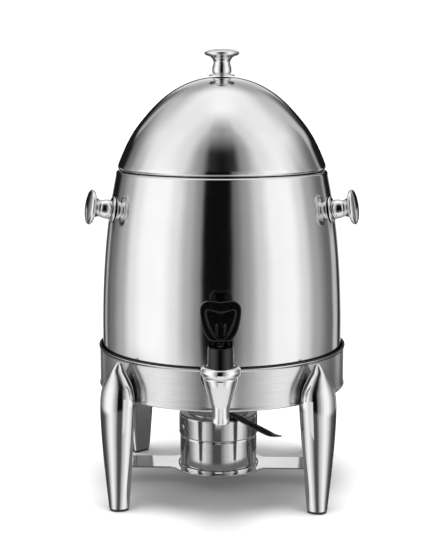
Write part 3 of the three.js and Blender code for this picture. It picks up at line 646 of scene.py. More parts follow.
# ---------------------------------------------------------------- band
band_profile = (
    [(118, 124.5), (118.1, 124.4), (144.3, 124.4)]
    + crom([(145.4, 124.45), (146.6, 125.0), (147.15, 126.3), (146.95, 127.6), (146.45, 128.6)], 4)
    + [(146.3, 129.4), (146.3, 169.2)]
    + crom([(146.45, 169.9), (147.15, 170.8), (147.46, 172), (147.1, 173.2), (146.1, 173.7), (144.9, 173.3), (144.4, 172.2), (144.8, 171), (145.25, 170.2)], 4)
    + [(145.3, 169.6), (145.3, 128.2)]
    + crom([(145.2, 127.2), (144.6, 126.1), (143.6, 125.55)], 3)
    + [(118.1, 125.5), (118, 125.4)]
)
NOTCH_W, NOTCH_Z = 17.2, 164.5
notch = [(NOTCH_W * math.cos(math.pi + math.pi * i / 40), NOTCH_Z + NOTCH_W * math.sin(math.pi + math.pi * i / 40)) for i in range(41)]
notch += crom([(NOTCH_W, 167.0), (NOTCH_W + 0.6, 170.0), (NOTCH_W + 2.2, 173.0), (NOTCH_W + 5.0, 176.0)], 3)
notch += [(NOTCH_W + 6, 180), (-NOTCH_W - 6, 180)]
notch += crom([(-NOTCH_W - 5.0, 176.0), (-NOTCH_W - 2.2, 173.0), (-NOTCH_W - 0.6, 170.0), (-NOTCH_W, 167.0)], 3)
XZ = Matrix(((1, 0, 0, 0), (0, 0, -1, 0), (0, 1, 0, 0), (0, 0, 0, 1)))   # outline x,y -> x,z, depth -> -y
YZX = Matrix(((0, 0, 1, 0), (1, 0, 0, 0), (0, 1, 0, 0), (0, 0, 0, 1)))   # outline x,y -> y,z, depth -> x
LEGS = {"front_left": 225, "front_right": 315, "rear_left": 135, "rear_right": 45}
v, f = lathe(band_profile, 256)
band_me = make("band", v, f, STAND)
v, f = prism(notch, 40)
tools = [make("notch", v, f, STAND @ T((0, -125, 0)) @ XZ)]
for a in LEGS.values():
    d = Vector((math.cos(math.radians(a)), math.sin(math.radians(a)), 0))
    tools.append(tool(rod(2.6, 12, 32), STAND @ along(d, (138 * d[0], 138 * d[1], 140))))
for s in (-1, 1):
    tools.append(tool(rod(2.5, 6, 32), STAND @ T((s * 127, 0, 122))))
band_me = cut(band_me, tools)
revolve_normals(band_me, [(band_profile, STAND)])
band = piece("band", band_me, BAND_STEEL, "stand", ["stand_band"], "mirror_steel", custom=True)
# faces on the rim's top and inside get the near-black material, painting in the shade of the gap between body and band
band.data.materials.append(BAND_RIM_PAINTED_SHADE)
inv = STAND.inverted()
for f in band.data.polygons:
    c = inv @ f.center
    r = math.hypot(c[0], c[1])
    if c[2] > 168.0 and (r < 145.6 or (c[2] > 171.0 and r < 147.35)):
        f.material_index = 1

# ---------------------------------------------------------------- legs and feet
LEG_ROWS = [(171.5, 156.1, 2.1, 4.2, 1.8, 0.7), (170, 154.5, 3.4, 7.4, 3.2, 0.7), (167.5, 153.2, 4.8, 10.6, 4.4, 0.66), (163.5, 152.0, 6.6, 14.9, 5.5, 0.6),
            (158.5, 150.6, 11.0, 18.0, 6.8, 0.56), (152, 148.6, 15.8, 23.3, 8.5, 0.56), (145, 147.95, 20.6, 27.0, 9.0, 0.58), (137, 147.95, 22.8, 29.4, 9.0, 0.6),
            (126, 148.0, 23.6, 30.6, 9.0, 0.62), (110, 148.6, 23.0, 30.2, 8.8, 0.64), (86, 149.9, 21.2, 28.2, 8.0, 0.7), (60, 151.0, 18.8, 25.2, 7.0, 0.78),
            (36, 152.0, 16.0, 22.4, 6.0, 0.85), (16, 152.8, 13.7, 19.8, 5.0, 0.92), (3.2, 153.4, 12.0, 18.2, 4.5, 0.95)]


def leg_ring(z, rin, a, b, e, k, inset=0.0, rnd=1.4, half=34):
    """Outline of a leg at one height: an oval cut flat towards the band, rounded long edges, even spacing."""
    aa, outer, inner = a - inset - min(0.12, 0.1 * a), b - e - inset - min(0.18, 0.1 * b), e / math.sqrt(1 - k * k) - inset
    rnd = min(rnd, 0.3 * aa, 0.3 * outer)
    start = math.acos((e - inset) / inner)
    f = np.linspace(start, math.pi / 2, 241)
    t = np.linspace(0, math.pi / 2, 481)[::-1]
    x = np.r_[e - inner * np.cos(f), e + outer * np.cos(t[1:])]
    y = np.r_[aa * np.sin(f), aa * np.sin(t[1:])]
    g = x - inset
    y = y - np.where(g < rnd, rnd * 0.6 * (1 - np.sqrt(np.clip(1 - (1 - np.clip(g, 0, rnd) / rnd) ** 2, 0, 1))), 0)
    x, y = np.r_[x, x[-2::-1]], np.r_[y, -y[-2::-1]]
    run = np.r_[0, np.cumsum(np.hypot(np.diff(x), np.diff(y)))]
    at = np.linspace(0, run[-1], half + 1)
    x, y = np.interp(at, run, x)[::-1], np.interp(at, run, y)[::-1]
    y = (y - y[::-1]) / 2
    x = (x + x[::-1]) / 2
    out = [(rin + float(p), float(q), z) for p, q in zip(x, y)]
    c = out[-1][1]
    return out + [(rin + inset, c - 2 * c * i / 8, z) for i in range(1, 8)]


def leg_row(z):
    zs = [r[0] for r in LEG_ROWS][::-1]
    return [float(np.interp(z, zs, [r[i] for r in LEG_ROWS][::-1])) for i in (1, 2, 3, 4, 5)]


def leg_mesh(matrix):
    dense = []
    cols = [bspl([(r[0], r[i]) for r in LEG_ROWS], 6) for i in (1, 2, 3, 4, 5)]
    for k in range(len(cols[0])):
        dense.append((cols[0][k][0], *[c[k][1] for c in cols]))
    tip = [(172.15, 157.7, 0.3, 0.6, 0.25, 0.7), (172.1, 157.35, 0.75, 1.5, 0.6, 0.7), (171.9, 156.8, 1.35, 2.7, 1.1, 0.7)]
    rings = [leg_ring(*r) for r in tip + dense]
    rings.append(leg_ring(3.05, 153.4, 11.7, 17.8, 4.5, 0.95))
    for z in (3.05, 30, 60, 90, 110, 125, 140, 150, 158):
        rings.append(leg_ring(z, *leg_row(max(z, 3.2)), inset=1.8))
    return make("leg", *loft(rings), matrix)


def foot_mesh(matrix):
    q = LEG_ROWS[-1]
    rows = [(0.0, q[1] + 1.5, q[2] - 2.2, q[3] - 3.2, 0), (0.15, q[1] + 1.0, q[2] - 1.5, q[3] - 2.1, 0), (0.7, q[1] + 0.6, q[2] - 0.9, q[3] - 1.4, 0), (2.2, q[1] + 0.5, q[2] - 0.7, q[3] - 1.1, 0),
            (2.7, q[1] + 0.6, q[2] - 0.9, q[3] - 1.4, 0), (2.8, q[1], q[2], q[3], 2.3), (9.2, q[1], q[2], q[3], 2.4), (10.0, q[1], q[2], q[3], 3.2)]
    return make("foot", *loft([leg_ring(*r[:4], q[4], q[5], r[4], rnd=1.2) for r in rows]), matrix)


for name, a in LEGS.items():
    o = piece(f"leg_shell_{name}", leg_mesh(STAND @ rz(a)), LEG_STEEL, "stand", [f"leg_{name}"], "mirror_steel", angle=50)
    # faces turned inward get the darker copy of the steel: painted shade on the legs' inner sides
    o.data.materials.append(LEG_BACK_PAINTED_SHADE)
    inward = Vector((-math.cos(math.radians(a + STAND_TURN)), -math.sin(math.radians(a + STAND_TURN)), 0))
    for f in o.data.polygons:
        if f.normal.dot(inward) > 0.9:
            f.material_index = 1
    piece(f"foot_pad_{name}", foot_mesh(STAND @ rz(a)), RUBBER, "stand", [f"foot_{name}"], "rubber_foot", angle=50)
    turned(f"leg_bolt_{name}", screw_profile(4.3, 2.0, 2.1, 5.9), FASTENER, "stand", STAND @ rz(a) @ along((1, 0, 0), (144.75, 0, 140)), 36, nodes=[f"leg_screw_{name}"], slot="fastener_steel")

# ---------------------------------------------------------------- shelf
SHELF_X, SHELF_TOP, SHELF_T, HALF_W, TAB_Z = 134.0, 22.0, 2.0, 22.0, 124.05
RING_R, RIM_R = 56.5, 48.6


def shelf_mesh():
    def arc(cx, cy, r, a0, a1, n):
        return [(cx + r * math.cos(math.radians(a0 + (a1 - a0) * i / n)), cy + r * math.sin(math.radians(a0 + (a1 - a0) * i / n))) for i in range(n + 1)]

    rf = 9.0
    dx = math.sqrt((RING_R + rf) ** 2 - (HALF_W + rf) ** 2)
    a = math.degrees(math.atan2(HALF_W + rf, dx))
    xb = SHELF_X - 5.0
    plan = [(xb, HALF_W)]
    plan += arc(BURNER_X + dx, HALF_W + rf, rf, 270, 180 + a, 8)
    plan += arc(BURNER_X, 0, RING_R, a, 180 - a, 40)[1:-1]
    plan += arc(BURNER_X - dx, HALF_W + rf, rf, -a, -90, 8)
    plan += [(-xb, HALF_W)]
    plan += [(x, -y) for x, y in plan[::-1]]
    n = len(plan)
    verts = [(x, y, SHELF_TOP) for x, y in plan] + [(x, y, SHELF_TOP - SHELF_T) for x, y in plan]
    faces = [list(range(n)), list(range(n, 2 * n))[::-1]]
    ends = {}
    for i in range(n):
        j = (i + 1) % n
        if abs(plan[i][0]) == xb and abs(plan[j][0]) == xb:
            ends[1 if plan[i][0] > 0 else -1] = (i, j)
            continue
        faces.append([i, j, n + j, n + i])
    # bent-up ends: outline of the sheet through the bend, the hanger and the tab
    up = arc(xb, SHELF_TOP + 3.0, 3.0, -90, 0, 6)[1:]                        # inner face, radius 3
    up += [(SHELF_X - SHELF_T, TAB_Z - SHELF_T - 1.6)] + arc(SHELF_X - SHELF_T - 1.6, TAB_Z - SHELF_T - 1.6, 1.6, 0, 90, 5)[1:] + [(SHELF_X - 13, TAB_Z - SHELF_T)]
    dn = arc(xb, SHELF_TOP + 3.0, 5.0, -90, 0, 6)[1:]
    dn += [(SHELF_X, TAB_Z - 3.6)] + arc(SHELF_X - 3.6, TAB_Z - 3.6, 3.6, 0, 90, 5)[1:] + [(SHELF_X - 13, TAB_Z)]
    for s, (i, j) in ends.items():
        row = (i, j, n + j, n + i)                                             # top a, top b, bottom b, bottom a
        ya, yb = plan[i][1], plan[j][1]
        for (xi, zi), (xo, zo) in zip(up, dn):
            m = len(verts)
            verts += [(s * xi, ya, zi), (s * xi, yb, zi), (s * xo, yb, zo), (s * xo, ya, zo)]
            new = (m, m + 1, m + 2, m + 3)
            for p in range(4):
                q = (p + 1) % 4
                faces.append([row[p], row[q], new[q], new[p]])
            row = new
        faces.append(list(row))
    me = make("shelf", verts, faces, STAND)
    rim = [(RIM_R - 1.3, SHELF_TOP - 0.8), (RIM_R, SHELF_TOP - 0.8), (RIM_R, SHELF_TOP + 1.9), (RIM_R - 0.2, SHELF_TOP + 2.38), (RIM_R - 0.65, SHELF_TOP + 2.5), (RIM_R - 1.1, SHELF_TOP + 2.38), (RIM_R - 1.3, SHELF_TOP + 1.9)]
    v, f = lathe(rim, 128)
    me = cut(me, [make("rim", v, f, STAND @ T((BURNER_X, 0, 0)))], "UNION")
    return cut(me, [tool(rod(2.5, 8, 32), STAND @ T((s * 127, 0, 118))) for s in (-1, 1)])


piece("shelf", shelf_mesh(), SHELF_STEEL, "stand", ["burner_shelf"], "mirror_steel", angle=40, bevel=0.35)
for side, s in (("left", -1), ("right", 1)):
    turned(f"shelf_bolt_{side}", screw_profile(4.2, 2.0, 2.1, 3.3), FASTENER, "stand", STAND @ T((s * 127, 0, TAB_Z - SHELF_T - 0.3)), 36, nodes=[f"shelf_screw_{side}"], slot="fastener_steel")

# ---------------------------------------------------------------- burner
CUP_R, CUP_TOP, COVER_R, COVER_TOP, SKIRT, HOLE_R = 46.4, 83.4, 47.6, 85.8, 61.0, 30.0
STUD_Z, STUD_AZ, DAMPER_R, LEVER_AZ, PIVOT_R = 73.0, 60.0, 36.5, -59.4, 41.2
cup_profile = (
    [(0, 22.4), (43.6, 22.4)] + crom([(44.8, 22.5), (45.9, 23.1), (46.35, 24.2)], 4) + [(46.4, 25.2), (46.4, 57.4), (46.2, 57.9), (45.75, 58.9), (45.65, 59.4), (45.75, 59.9), (46.2, 60.9), (46.4, 61.4), (46.4, 83.1), (46.3, 83.35), (46.0, 83.4), (45.6, 83.35), (45.5, 83.1), (45.5, 25.4)]
    + crom([(45.4, 24.6), (44.9, 23.8), (43.9, 23.45)], 3) + [(43.0, 23.4), (0, 23.4)]
)
turned("cup", cup_profile, BURNER_STEEL, "fuel_holder", BURNER, 128, nodes=["fuel_cup"], slot="burner_steel")
cover_profile = (
    [(HOLE_R, 85.0), (HOLE_R - 0.05, 85.3), (HOLE_R, 85.7), (HOLE_R + 0.25, 85.8), (44.6, 85.8)]
    + crom([(45.8, 85.75), (46.9, 85.2), (47.45, 84.3)], 4)
    + [(47.6, 83.2), (47.6, 61.3), (47.45, 61.05), (47.2, 61.0), (46.95, 61.05), (46.8, 61.3), (46.8, 83.3)]
    + crom([(46.7, 84.0), (46.2, 84.75), (45.4, 84.95)], 3) + [(44.6, 85.0)]
)
v, f = lathe(cover_profile, 128)
pa = math.radians(LEVER_AZ + 180)
px, py = PIVOT_R * math.cos(pa), PIVOT_R * math.sin(pa)
stud_dirs = {side: Vector((math.cos(math.radians(-90 + s * STUD_AZ)), math.sin(math.radians(-90 + s * STUD_AZ)), 0)) for side, s in (("left", -1), ("right", 1))}
cover_me = cut(make("cover", v, f, BURNER), [tool(rod(1.75, 6, 32), BURNER @ along(d, (44 * d[0], 44 * d[1], STUD_Z))) for d in stud_dirs.values()]
               + [tool(rod(1.9, 8, 32), BURNER @ T((px, py, COVER_TOP - 5)))])
revolve_normals(cover_me, [(cover_profile, BURNER)])
piece("cover", cover_me, BURNER_STEEL, "fuel_holder_cover", ["burner_cover"], "burner_steel", custom=True)
stud = [(0, 0), (1.4, 0), (1.4, 1.35), (3.3, 1.35)] + crom([(3.5, 1.5), (3.4, 2.1), (2.7, 2.75), (1.4, 3.1)], 4) + [(0, 3.2)]
for side, d in stud_dirs.items():
    turned(f"stud_{side}", stud, FASTENER, "fuel_holder_cover", BURNER @ along(d, (46.85 * d[0], 46.85 * d[1], STUD_Z)), 48, nodes=[f"cover_stud_{side}"], slot="burner_steel")

dz = COVER_TOP + 0.35
disc_profile = [(0, dz + 0.55), (35.1, dz + 0.55), (35.45, dz + 0.3), (35.6, dz + 0.05), (35.8, dz), (36.3, dz), (36.5, dz + 0.15), (36.45, dz + 0.7)] + crom([(36.25, dz + 1.1), (35.9, dz + 1.35), (35.4, dz + 1.45)], 3) + [(34.6, dz + 1.45), (0, dz + 1.45)]
v, f = lathe(disc_profile, 128)
disc_me = make("disc", v, f, BURNER)
ear = [(PIVOT_R + 4.6 * math.cos(math.pi / 2 - math.pi * i / 24), 4.6 * math.sin(math.pi / 2 - math.pi * i / 24)) for i in range(25)] + [(31, -8.5), (31, 8.5)]
v, f = prism(ear, 0.9)
disc_me = cut(disc_me, [make("ear", v, f, BURNER @ rz(LEVER_AZ + 180) @ T((0, 0, dz + 0.1)))], "UNION")
disc_me = cut(disc_me, [tool(rod(1.9, 8, 32), BURNER @ T((px, py, dz - 3)))])
revolve_normals(disc_me, [(disc_profile, BURNER)])
DISC_STEEL = brushed("burner_disc_steel", BC, base=(0.66, 0.66, 0.665), rough=(0.12, 0.24), strength=0.08, aniso=0.4)
piece("damper_plate", disc_me, DISC_STEEL, "damper", ["damper_disc"], "burner_steel", custom=True)
rivet = [(0, COVER_TOP - 2.7), (2.6, COVER_TOP - 2.7), (3.0, COVER_TOP - 2.3), (3.0, COVER_TOP - 1.3), (1.5, COVER_TOP - 1.3), (1.5, dz + 1.4), (3.5, dz + 1.4)] + crom([(3.6, dz + 1.6), (3.3, dz + 2.3), (2.5, dz + 2.75), (1.2, dz + 2.97)], 4) + [(0, dz + 3.0)]
turned("pivot_rivet", rivet, FASTENER, "fuel_holder_cover", BURNER @ T((px, py, 0)), 48, nodes=["damper_pivot_rivet"], slot="burner_steel")

LEVER = [(27, dz + 1.8, 3.2, 1.8), (29, dz + 1.75, 4.4, 3.0), (37, dz + 1.75, 4.8, 3.7), (50, 87.2, 5.0, 4.0), (73, 86.0, 5.1, 4.2), (100, 85.0, 5.2, 4.2),
         (112, 84.8, 5.2, 3.7), (119, 85.1, 5.2, 2.6), (127, 86.2, 5.0, 1.9), (134, 87.6, 3.9, 1.7), (137.5, 88.4, 2.2, 1.5), (139, 88.7, 0.8, 1.2)]
cols = [crom([(r[0], r[i]) for r in LEVER], 5) for i in (1, 2, 3)]
rings = []
for k in range(len(cols[0])):
    u, z, w, h = cols[0][k][0], cols[0][k][1], cols[1][k][1], cols[2][k][1]
    under = [(-w, z + 0.18 * h), (-w * 0.93, z + 0.04 * h), (-w * 0.8, z), (0, z), (w * 0.8, z), (w * 0.93, z + 0.04 * h), (w, z + 0.18 * h)]
    top = [(w * math.cos(math.radians(t)) ** 0.85 if t <= 90 else -w * abs(math.cos(math.radians(t))) ** 0.85, z + h * (0.18 + 0.82 * math.sin(math.radians(t)) ** 0.9)) for t in range(15, 180, 15)]
    rings.append([(u, a, b) for a, b in under + top])
piece("lever", make("lever", *loft(rings), BURNER @ rz(LEVER_AZ)), DARK, "damper", ["damper_lever"], "dark_steel", angle=42)

# ---------------------------------------------------------------- faucet
faucet_profile = (
    crom([(7.2, 123.2), (7.3, 122.6), (7.7, 122.4)], 3) + crom([(8.5, 122.4), (9.1, 122.65), (9.35, 123.5), (9.3, 125.0), (9.15, 127.5), (9.1, 131.0), (9.25, 136.5), (10.1, 141.5), (12.4, 149), (15.1, 157.5), (17.4, 165), (18.3, 169.3), (18.5, 171.6), (18.35, 172.6)], 5)
    + crom([(18.5, 173.3), (19.7, 174.3), (21.2, 176.5), (21.7, 179.3), (21.2, 182), (19.8, 184), (17.7, 184.9), (16.1, 184.7), (15.55, 183.8)], 5)
    + [(15.5, 183.2), (15.5, 181.0), (13.6, 181.0), (13.6, 157), (8.0, 150.6), (6.6, 149.0)]
)
shank_profile = [(0, 0), (11.6, 0), (12.0, 0.4), (12.0, 3.2)] + crom([(11.6, 4.0), (10.8, 4.9), (10.3, 5.7), (10.0, 6.5)], 3) + [(10.0, 25), (0, 25)]
shank_m = MAIN @ along((0, -1, 0), (FAUCET_X, -146.3, SHANK_Z))
stub_profile = [(0, 0), (SHANK_R - 0.5, 0), (SHANK_R, 0.5), (SHANK_R, 20), (0, 20)]
stub_m = MAIN @ along((0, -1, 0), (FAUCET_X, -129, SHANK_Z))
me = make("faucet", *lathe(faucet_profile, 128), FAUCET)
me = cut(me, [make("shank", *lathe(shank_profile, 64), shank_m), make("stub", *lathe(stub_profile, 64), stub_m)], "UNION")
bore = [(0, 149), (6.6, 149), (8.0, 150.6), (13.6, 157), (13.6, 180), (0, 180)]
me = cut(me, [tool(rod(5.6, 45, 48), MAIN @ along((0, -1, 0), (FAUCET_X, -127, SHANK_Z))), make("bore", *lathe(bore, 96), FAUCET)])
revolve_normals(me, [(faucet_profile, FAUCET), (shank_profile, shank_m), (stub_profile, stub_m)])
piece("faucet_shell", me, CHROME, "urn", ["faucet_body"], "chrome", custom=True)


def washer(ri, ro, t, b=0.35):
    return [(ri + b, 0), (ro - b, 0), (ro - 0.1, 0.1), (ro, b), (ro, t - b), (ro - 0.1, t - 0.1), (ro - b, t), (ri + b, t), (ri, t - b), (ri, b)]


turned("gasket_outer", washer(SHANK_R + 0.35, 11.7, 2.4), SILICONE, "urn", MAIN @ along((0, -1, 0), (FAUCET_X, -143.3, SHANK_Z)), 64, nodes=["faucet_outer_washer"], slot="silicone")
turned("gasket_inner", washer(SHANK_R + 0.35, 12.2, 2.0), SILICONE, "urn", MAIN @ along((0, 1, 0), (FAUCET_X, -140.3, SHANK_Z)), 64, nodes=["faucet_inner_washer"], slot="silicone")
hexa = [(14 * math.cos(i * math.pi / 3), 14 * math.sin(i * math.pi / 3)) for i in range(6)]
nut_m = MAIN @ along((0, 1, 0), (FAUCET_X, -137.9, SHANK_Z))
nut = cut(make("nut", *prism(hexa, 5.5), nut_m), [tool(rod(SHANK_R + 0.3, 12, 48), nut_m @ T((0, 0, -3)))])
piece("locknut", nut, FASTENER, "urn", ["faucet_locknut"], "fastener_steel", bevel=0.4, angle=25)

# bonnet with its two lugs, and the pin
bonnet_profile = (
    [(3.6, 176), (12.9, 176), (13.1, 176.2), (13.1, 181.4), (14.9, 181.4), (15.1, 181.7), (15.1, 183.2)] + crom([(14.9, 183.7), (14.3, 184.3), (14.0, 185.1)], 3)
    + [(13.9, 186), (13.9, 203.6)] + crom([(13.75, 204.6), (13.2, 205.6), (12.3, 206.15)], 4) + [(11.4, 206.2), (3.6, 206.2), (3.4, 206.0), (3.4, 176.2)]
)
bon = make("bonnet", *lathe(bonnet_profile, 96), FAUCET)
lug = [(4.6 * math.cos(math.pi * i / 20), PIN_Z + 4.6 * math.sin(math.pi * i / 20)) for i in range(21)] + [(-5.2, 203), (5.2, 203)]
bon = cut(bon, [make("lug", *prism(lug, 3.8), FAUCET @ T((x, 0, 0)) @ YZX) for x in (-12.5, 8.7)], "UNION")
bon = cut(bon, [tool(rod(1.85, 30, 32), FAUCET @ along((1, 0, 0), (-15, 0, PIN_Z)))])
piece("bonnet", bon, BLACK, "urn", ["faucet_bonnet"], "black_plastic", bevel=0.45, angle=38)
turned("lever_pin", [(0, 0), (1.25, 0), (1.55, 0.3), (1.55, 24.7), (1.25, 25), (0, 25)], FASTENER, "urn", FAUCET @ along((1, 0, 0), (-12.5, 0, PIN_Z)), 36, nodes=["faucet_handle_pin"], slot="fastener_steel")

# handle: shield-shaped paddle with a dished face and a rib, hub between the lugs
HW = [(214.2, 9.5), (217.1, 13.4), (223.5, 17.2), (229.9, 19.3), (236.3, 20.6), (242.7, 21.5), (249.2, 21.7), (253.2, 20.4), (255.8, 17.6), (256.9, 14.5)]
REC = [(2.6, 216.4), (5.6, 218.6), (8.6, 222.2), (11.4, 227.0), (13.7, 232.6), (15.3, 238.6), (16.3, 245.0), (14.9, 248.2), (8, 246.9)]
C0 = np.array([0.0, 234.0])


def closed_outline(right, extra):
    pts = [(w, z) for z, w in right] if extra else list(right)
    top = [(6, 256.75), (0, 255.9), (-6, 256.75)] if extra else [(0, 245.3)]
    loop = pts + top + [(-x, z) for x, z in pts[::-1]]
    body = crom([loop[-1]] + loop + [loop[0]], 8)
    return np.array(body)


def radial(poly, ang):
    """Distance from C0 to a closed outline in each direction."""
    rel = poly - C0
    th = np.arctan2(rel[:, 1], rel[:, 0])
    r = np.linalg.norm(rel, axis=1)
    order = np.argsort(th)
    th, r = th[order], r[order]
    th = np.r_[th[-1] - 2 * math.pi, th, th[0] + 2 * math.pi]
    r = np.r_[r[-1], r, r[0]]
    return np.interp(ang, th, r)


angs = np.linspace(-math.pi, math.pi, 144, endpoint=False)
outer_r = radial(closed_outline(HW, True), angs)
inner_r = radial(closed_outline(REC, False), angs)
for _ in range(2):
    outer_r = (np.roll(outer_r, 1) + 2 * outer_r + np.roll(outer_r, -1)) / 4
    inner_r = (np.roll(inner_r, 1) + 2 * inner_r + np.roll(inner_r, -1)) / 4


def handle_ring(rad, y):
    return [(float(rad[i] * math.cos(angs[i])), y, float(C0[1] + rad[i] * math.sin(angs[i]))) for i in range(len(angs))]


rings = []
for frac in (0.25, 0.6, 0.85):
    rings.append(handle_ring((outer_r - 1.3) * frac, -5.6))
for ins, y in ((1.3, -5.6), (0.75, -5.7), (0.3, -6.05), (0.05, -6.6), (0, -7.2), (0, -9.2), (0, -11.0), (0.08, -11.6), (0.35, -12.1), (0.8, -12.45), (1.4, -12.6)):
    rings.append(handle_ring(outer_r - ins, y))
land_a, land_b = outer_r - 1.4, inner_r + 0.9
for t in (0.33, 0.66, 1.0):
    rings.append(handle_ring(land_a * (1 - t) + land_b * t, -12.6 + 0.0 * t))
for ins, y in ((-0.45, -12.52), (-0.1, -12.3), (0.15, -11.9), (0.35, -11.2), (0.6, -10.5), (1.0, -10.05), (1.6, -9.82), (2.4, -9.8)):
    rings.append(handle_ring(inner_r - ins, y))


def rib_y(x, z):
    """Floor of the recess with a soft raised rib up its lower middle."""
    def step(e0, e1, v):
        t = min(max((v - e0) / (e1 - e0), 0), 1)
        return t * t * (3 - 2 * t)
    up = (1 - step(3.4, 5.6, abs(x))) * (1 - step(229.5, 233.5, z))
    return -9.8 - 1.7 * up


for frac in (0.96, 0.92, 0.88, 0.84, 0.8, 0.76, 0.72, 0.68, 0.64, 0.6, 0.56, 0.52, 0.48, 0.44, 0.4, 0.36, 0.32, 0.28, 0.24, 0.2, 0.16, 0.12, 0.08, 0.04):
    rings.append([(x, rib_y(x, z), z) for x, _, z in handle_ring((inner_r - 2.4) * frac, -9.8)])
paddle = make("paddle", *loft(rings), FAUCET)
hub = [(4.7 * math.cos(-math.pi / 2 + i * math.pi / 24), PIN_Z + 4.7 * math.sin(-math.pi / 2 + i * math.pi / 24)) for i in range(25)] + [(-2, 222), (-7.5, 224), (-7.5, 214.4), (-4.7, 210.2)]
hub_me = make("hub", *prism(hub, 16.4), FAUCET @ T((-8.2, 0, 0)) @ YZX)
hd = cut(paddle, [hub_me], "UNION")
slot_box = [(-3.5, -5.2), (3.5, -5.2), (3.5, 6.2), (-3.5, 6.2)]
hd = cut(hd, [make("slot", *prism(slot_box, 17.5), FAUCET @ T((0, 0, 208.7 - 8.75))), tool(rod(1.62, 30, 32), FAUCET @ along((1, 0, 0), (-15, 0, PIN_Z)))])
piece("tap_handle", hd, BLACK, "faucet_lever", ["faucet_handle"], "black_plastic", bevel=0.4, angle=40)

# valve: stem and silicone seat cup
stem = [(0, 153.6), (4.4, 153.6), (5.2, 154.2), (5.4, 155.0), (5.4, 156.4), (4.9, 156.9), (2.6, 157.5), (2.3, 158.0), (2.3, 203.2), (2.9, 204.1), (2.9, 205.3), (2.4, 205.8), (0, 205.9)]
turned("stem", stem, FASTENER, "faucet_valve", FAUCET, 48, nodes=["valve_stem"], slot="fastener_steel")
seat = [(2.65, 158.1), (6.2, 157.3), (5.9, 153.6), (7.2, 152.4), (9.3, 153.8), (11.4, 158.6), (12.2, 164), (12.0, 168.3), (11.6, 168.6), (11.0, 168.6), (10.8, 168.2), (10.6, 163.6), (7.2, 160.6), (2.65, 160.6)]
turned("seat_cup", seat, SILICONE, "faucet_valve", FAUCET, 64, nodes=["valve_seat_cup"], slot="silicone")

# ---------------------------------------------------------------- floor
def ramp(k, value, stops):
    """Brightness against azimuth in degrees, -180..180, 0 towards the front."""
    n = k.t.nodes.new("ShaderNodeValToRGB")
    n.color_ramp.interpolation = "EASE"
    el = n.color_ramp.elements
    while len(el) > 1:
        el.remove(el[-1])
    el[0].position = (stops[0][0] + 180) / 360
    el[0].color = (*[stops[0][1]] * 3, 1)
    for deg, v in stops[1:]:
        e = el.new((deg + 180) / 360)
        e.color = (v, v, v, 1)
    k.link(value, n.inputs[0])
    return n.outputs[0]


def floor_material(name, shade=0.0):
    """Pale matt floor; given shade, glossy rays see it as a flat grey glow of that value instead, a painted shadow for
    the patch under the stand.
    """
    m, k, p = material(name)
    _, obj, sep = polar(k)
    n = k.noise(obj, 3.0, 3.0, 0.5)
    k.link(k.mix(k.remap(n, 0.3, 0.7, 0, 1), (0.93, 0.93, 0.93), (0.945, 0.945, 0.945)), p.inputs["Base Color"])
    p.inputs["Roughness"].default_value = 0.6
    p.inputs["Specular IOR Level"].default_value = 0.1
    if shade:
        em = k.new("ShaderNodeEmission", Color=(shade, shade, shade, 1))
        lp = k.new("ShaderNodeLightPath")
        mx = k.new("ShaderNodeMixShader")
        k.link(lp.outputs["Is Glossy Ray"], mx.inputs[0])
        k.link(p.outputs[0], mx.inputs[1])
        k.link(em.outputs[0], mx.inputs[2])
        out = [q for q in m.node_tree.nodes if q.bl_idname == "ShaderNodeOutputMaterial"][0]
        k.link(mx.outputs[0], out.inputs[0])
    return m


NEAR = 0.15


def floor_ring(name, r0, r1, mat, seg=96):
    verts, faces = [], []
    radii = [r0 + (r1 - r0) * (i / 6) ** 2 for i in range(7)] if r0 > 0 else [r1 * i / 6 for i in range(1, 7)]
    if r0 == 0:
        verts.append((0, 0, 0))
        faces += [[0, 1 + j, 1 + (j + 1) % seg] for j in range(seg)]
    base = len(verts)
    for r in radii:
        for j in range(seg):
            a = 2 * math.pi * j / seg
            verts.append((r * math.cos(a), r * math.sin(a), 0))
    verts = [(x, y + Y_SHIFT * MM, z) for x, y, z in verts]
    for i in range(len(radii) - 1):
        for j in range(seg):
            q = (j + 1) % seg
            faces.append([base + i * seg + j, base + (i + 1) * seg + j, base + (i + 1) * seg + q, base + i * seg + q])
    me = bpy.data.meshes.new(name)
    me.from_pydata(verts, [], faces)
    me.validate()
    o = bpy.data.objects.new(name, me)
    me.materials.append(mat)
    scene.collection.objects.link(o)
    return o


# reflections see the patch under the stand as a flat 0.2 grey glow: a painted shadow
floor_ring("floor_near", 0.0, NEAR, floor_material("studio_floor_painted_shadow", 0.2))
far = floor_ring("floor_far", NEAR, 60.0, floor_material("studio_floor"))
far.visible_glossy = False

# small white card low in front of the tap, seen only in reflections
card_me = bpy.data.meshes.new("tap_card")
card_me.from_pydata([(-0.052, -0.30, 0.002), (0.05, -0.30, 0.002), (0.05, -0.30, 0.128), (-0.052, -0.30, 0.128)], [], [[0, 1, 2, 3]])
card = bpy.data.objects.new("tap_card", card_me)
cm_, kc, pc = material("tap_card")
pc.inputs["Base Color"].default_value = (0, 0, 0, 1)
pc.inputs["Emission Color"].default_value = (0.95, 0.95, 0.95, 1)
pc.inputs["Emission Strength"].default_value = 1.0
card_me.materials.append(cm_)
scene.collection.objects.link(card)
card.visible_camera = card.visible_diffuse = card.visible_shadow = card.visible_transmission = False

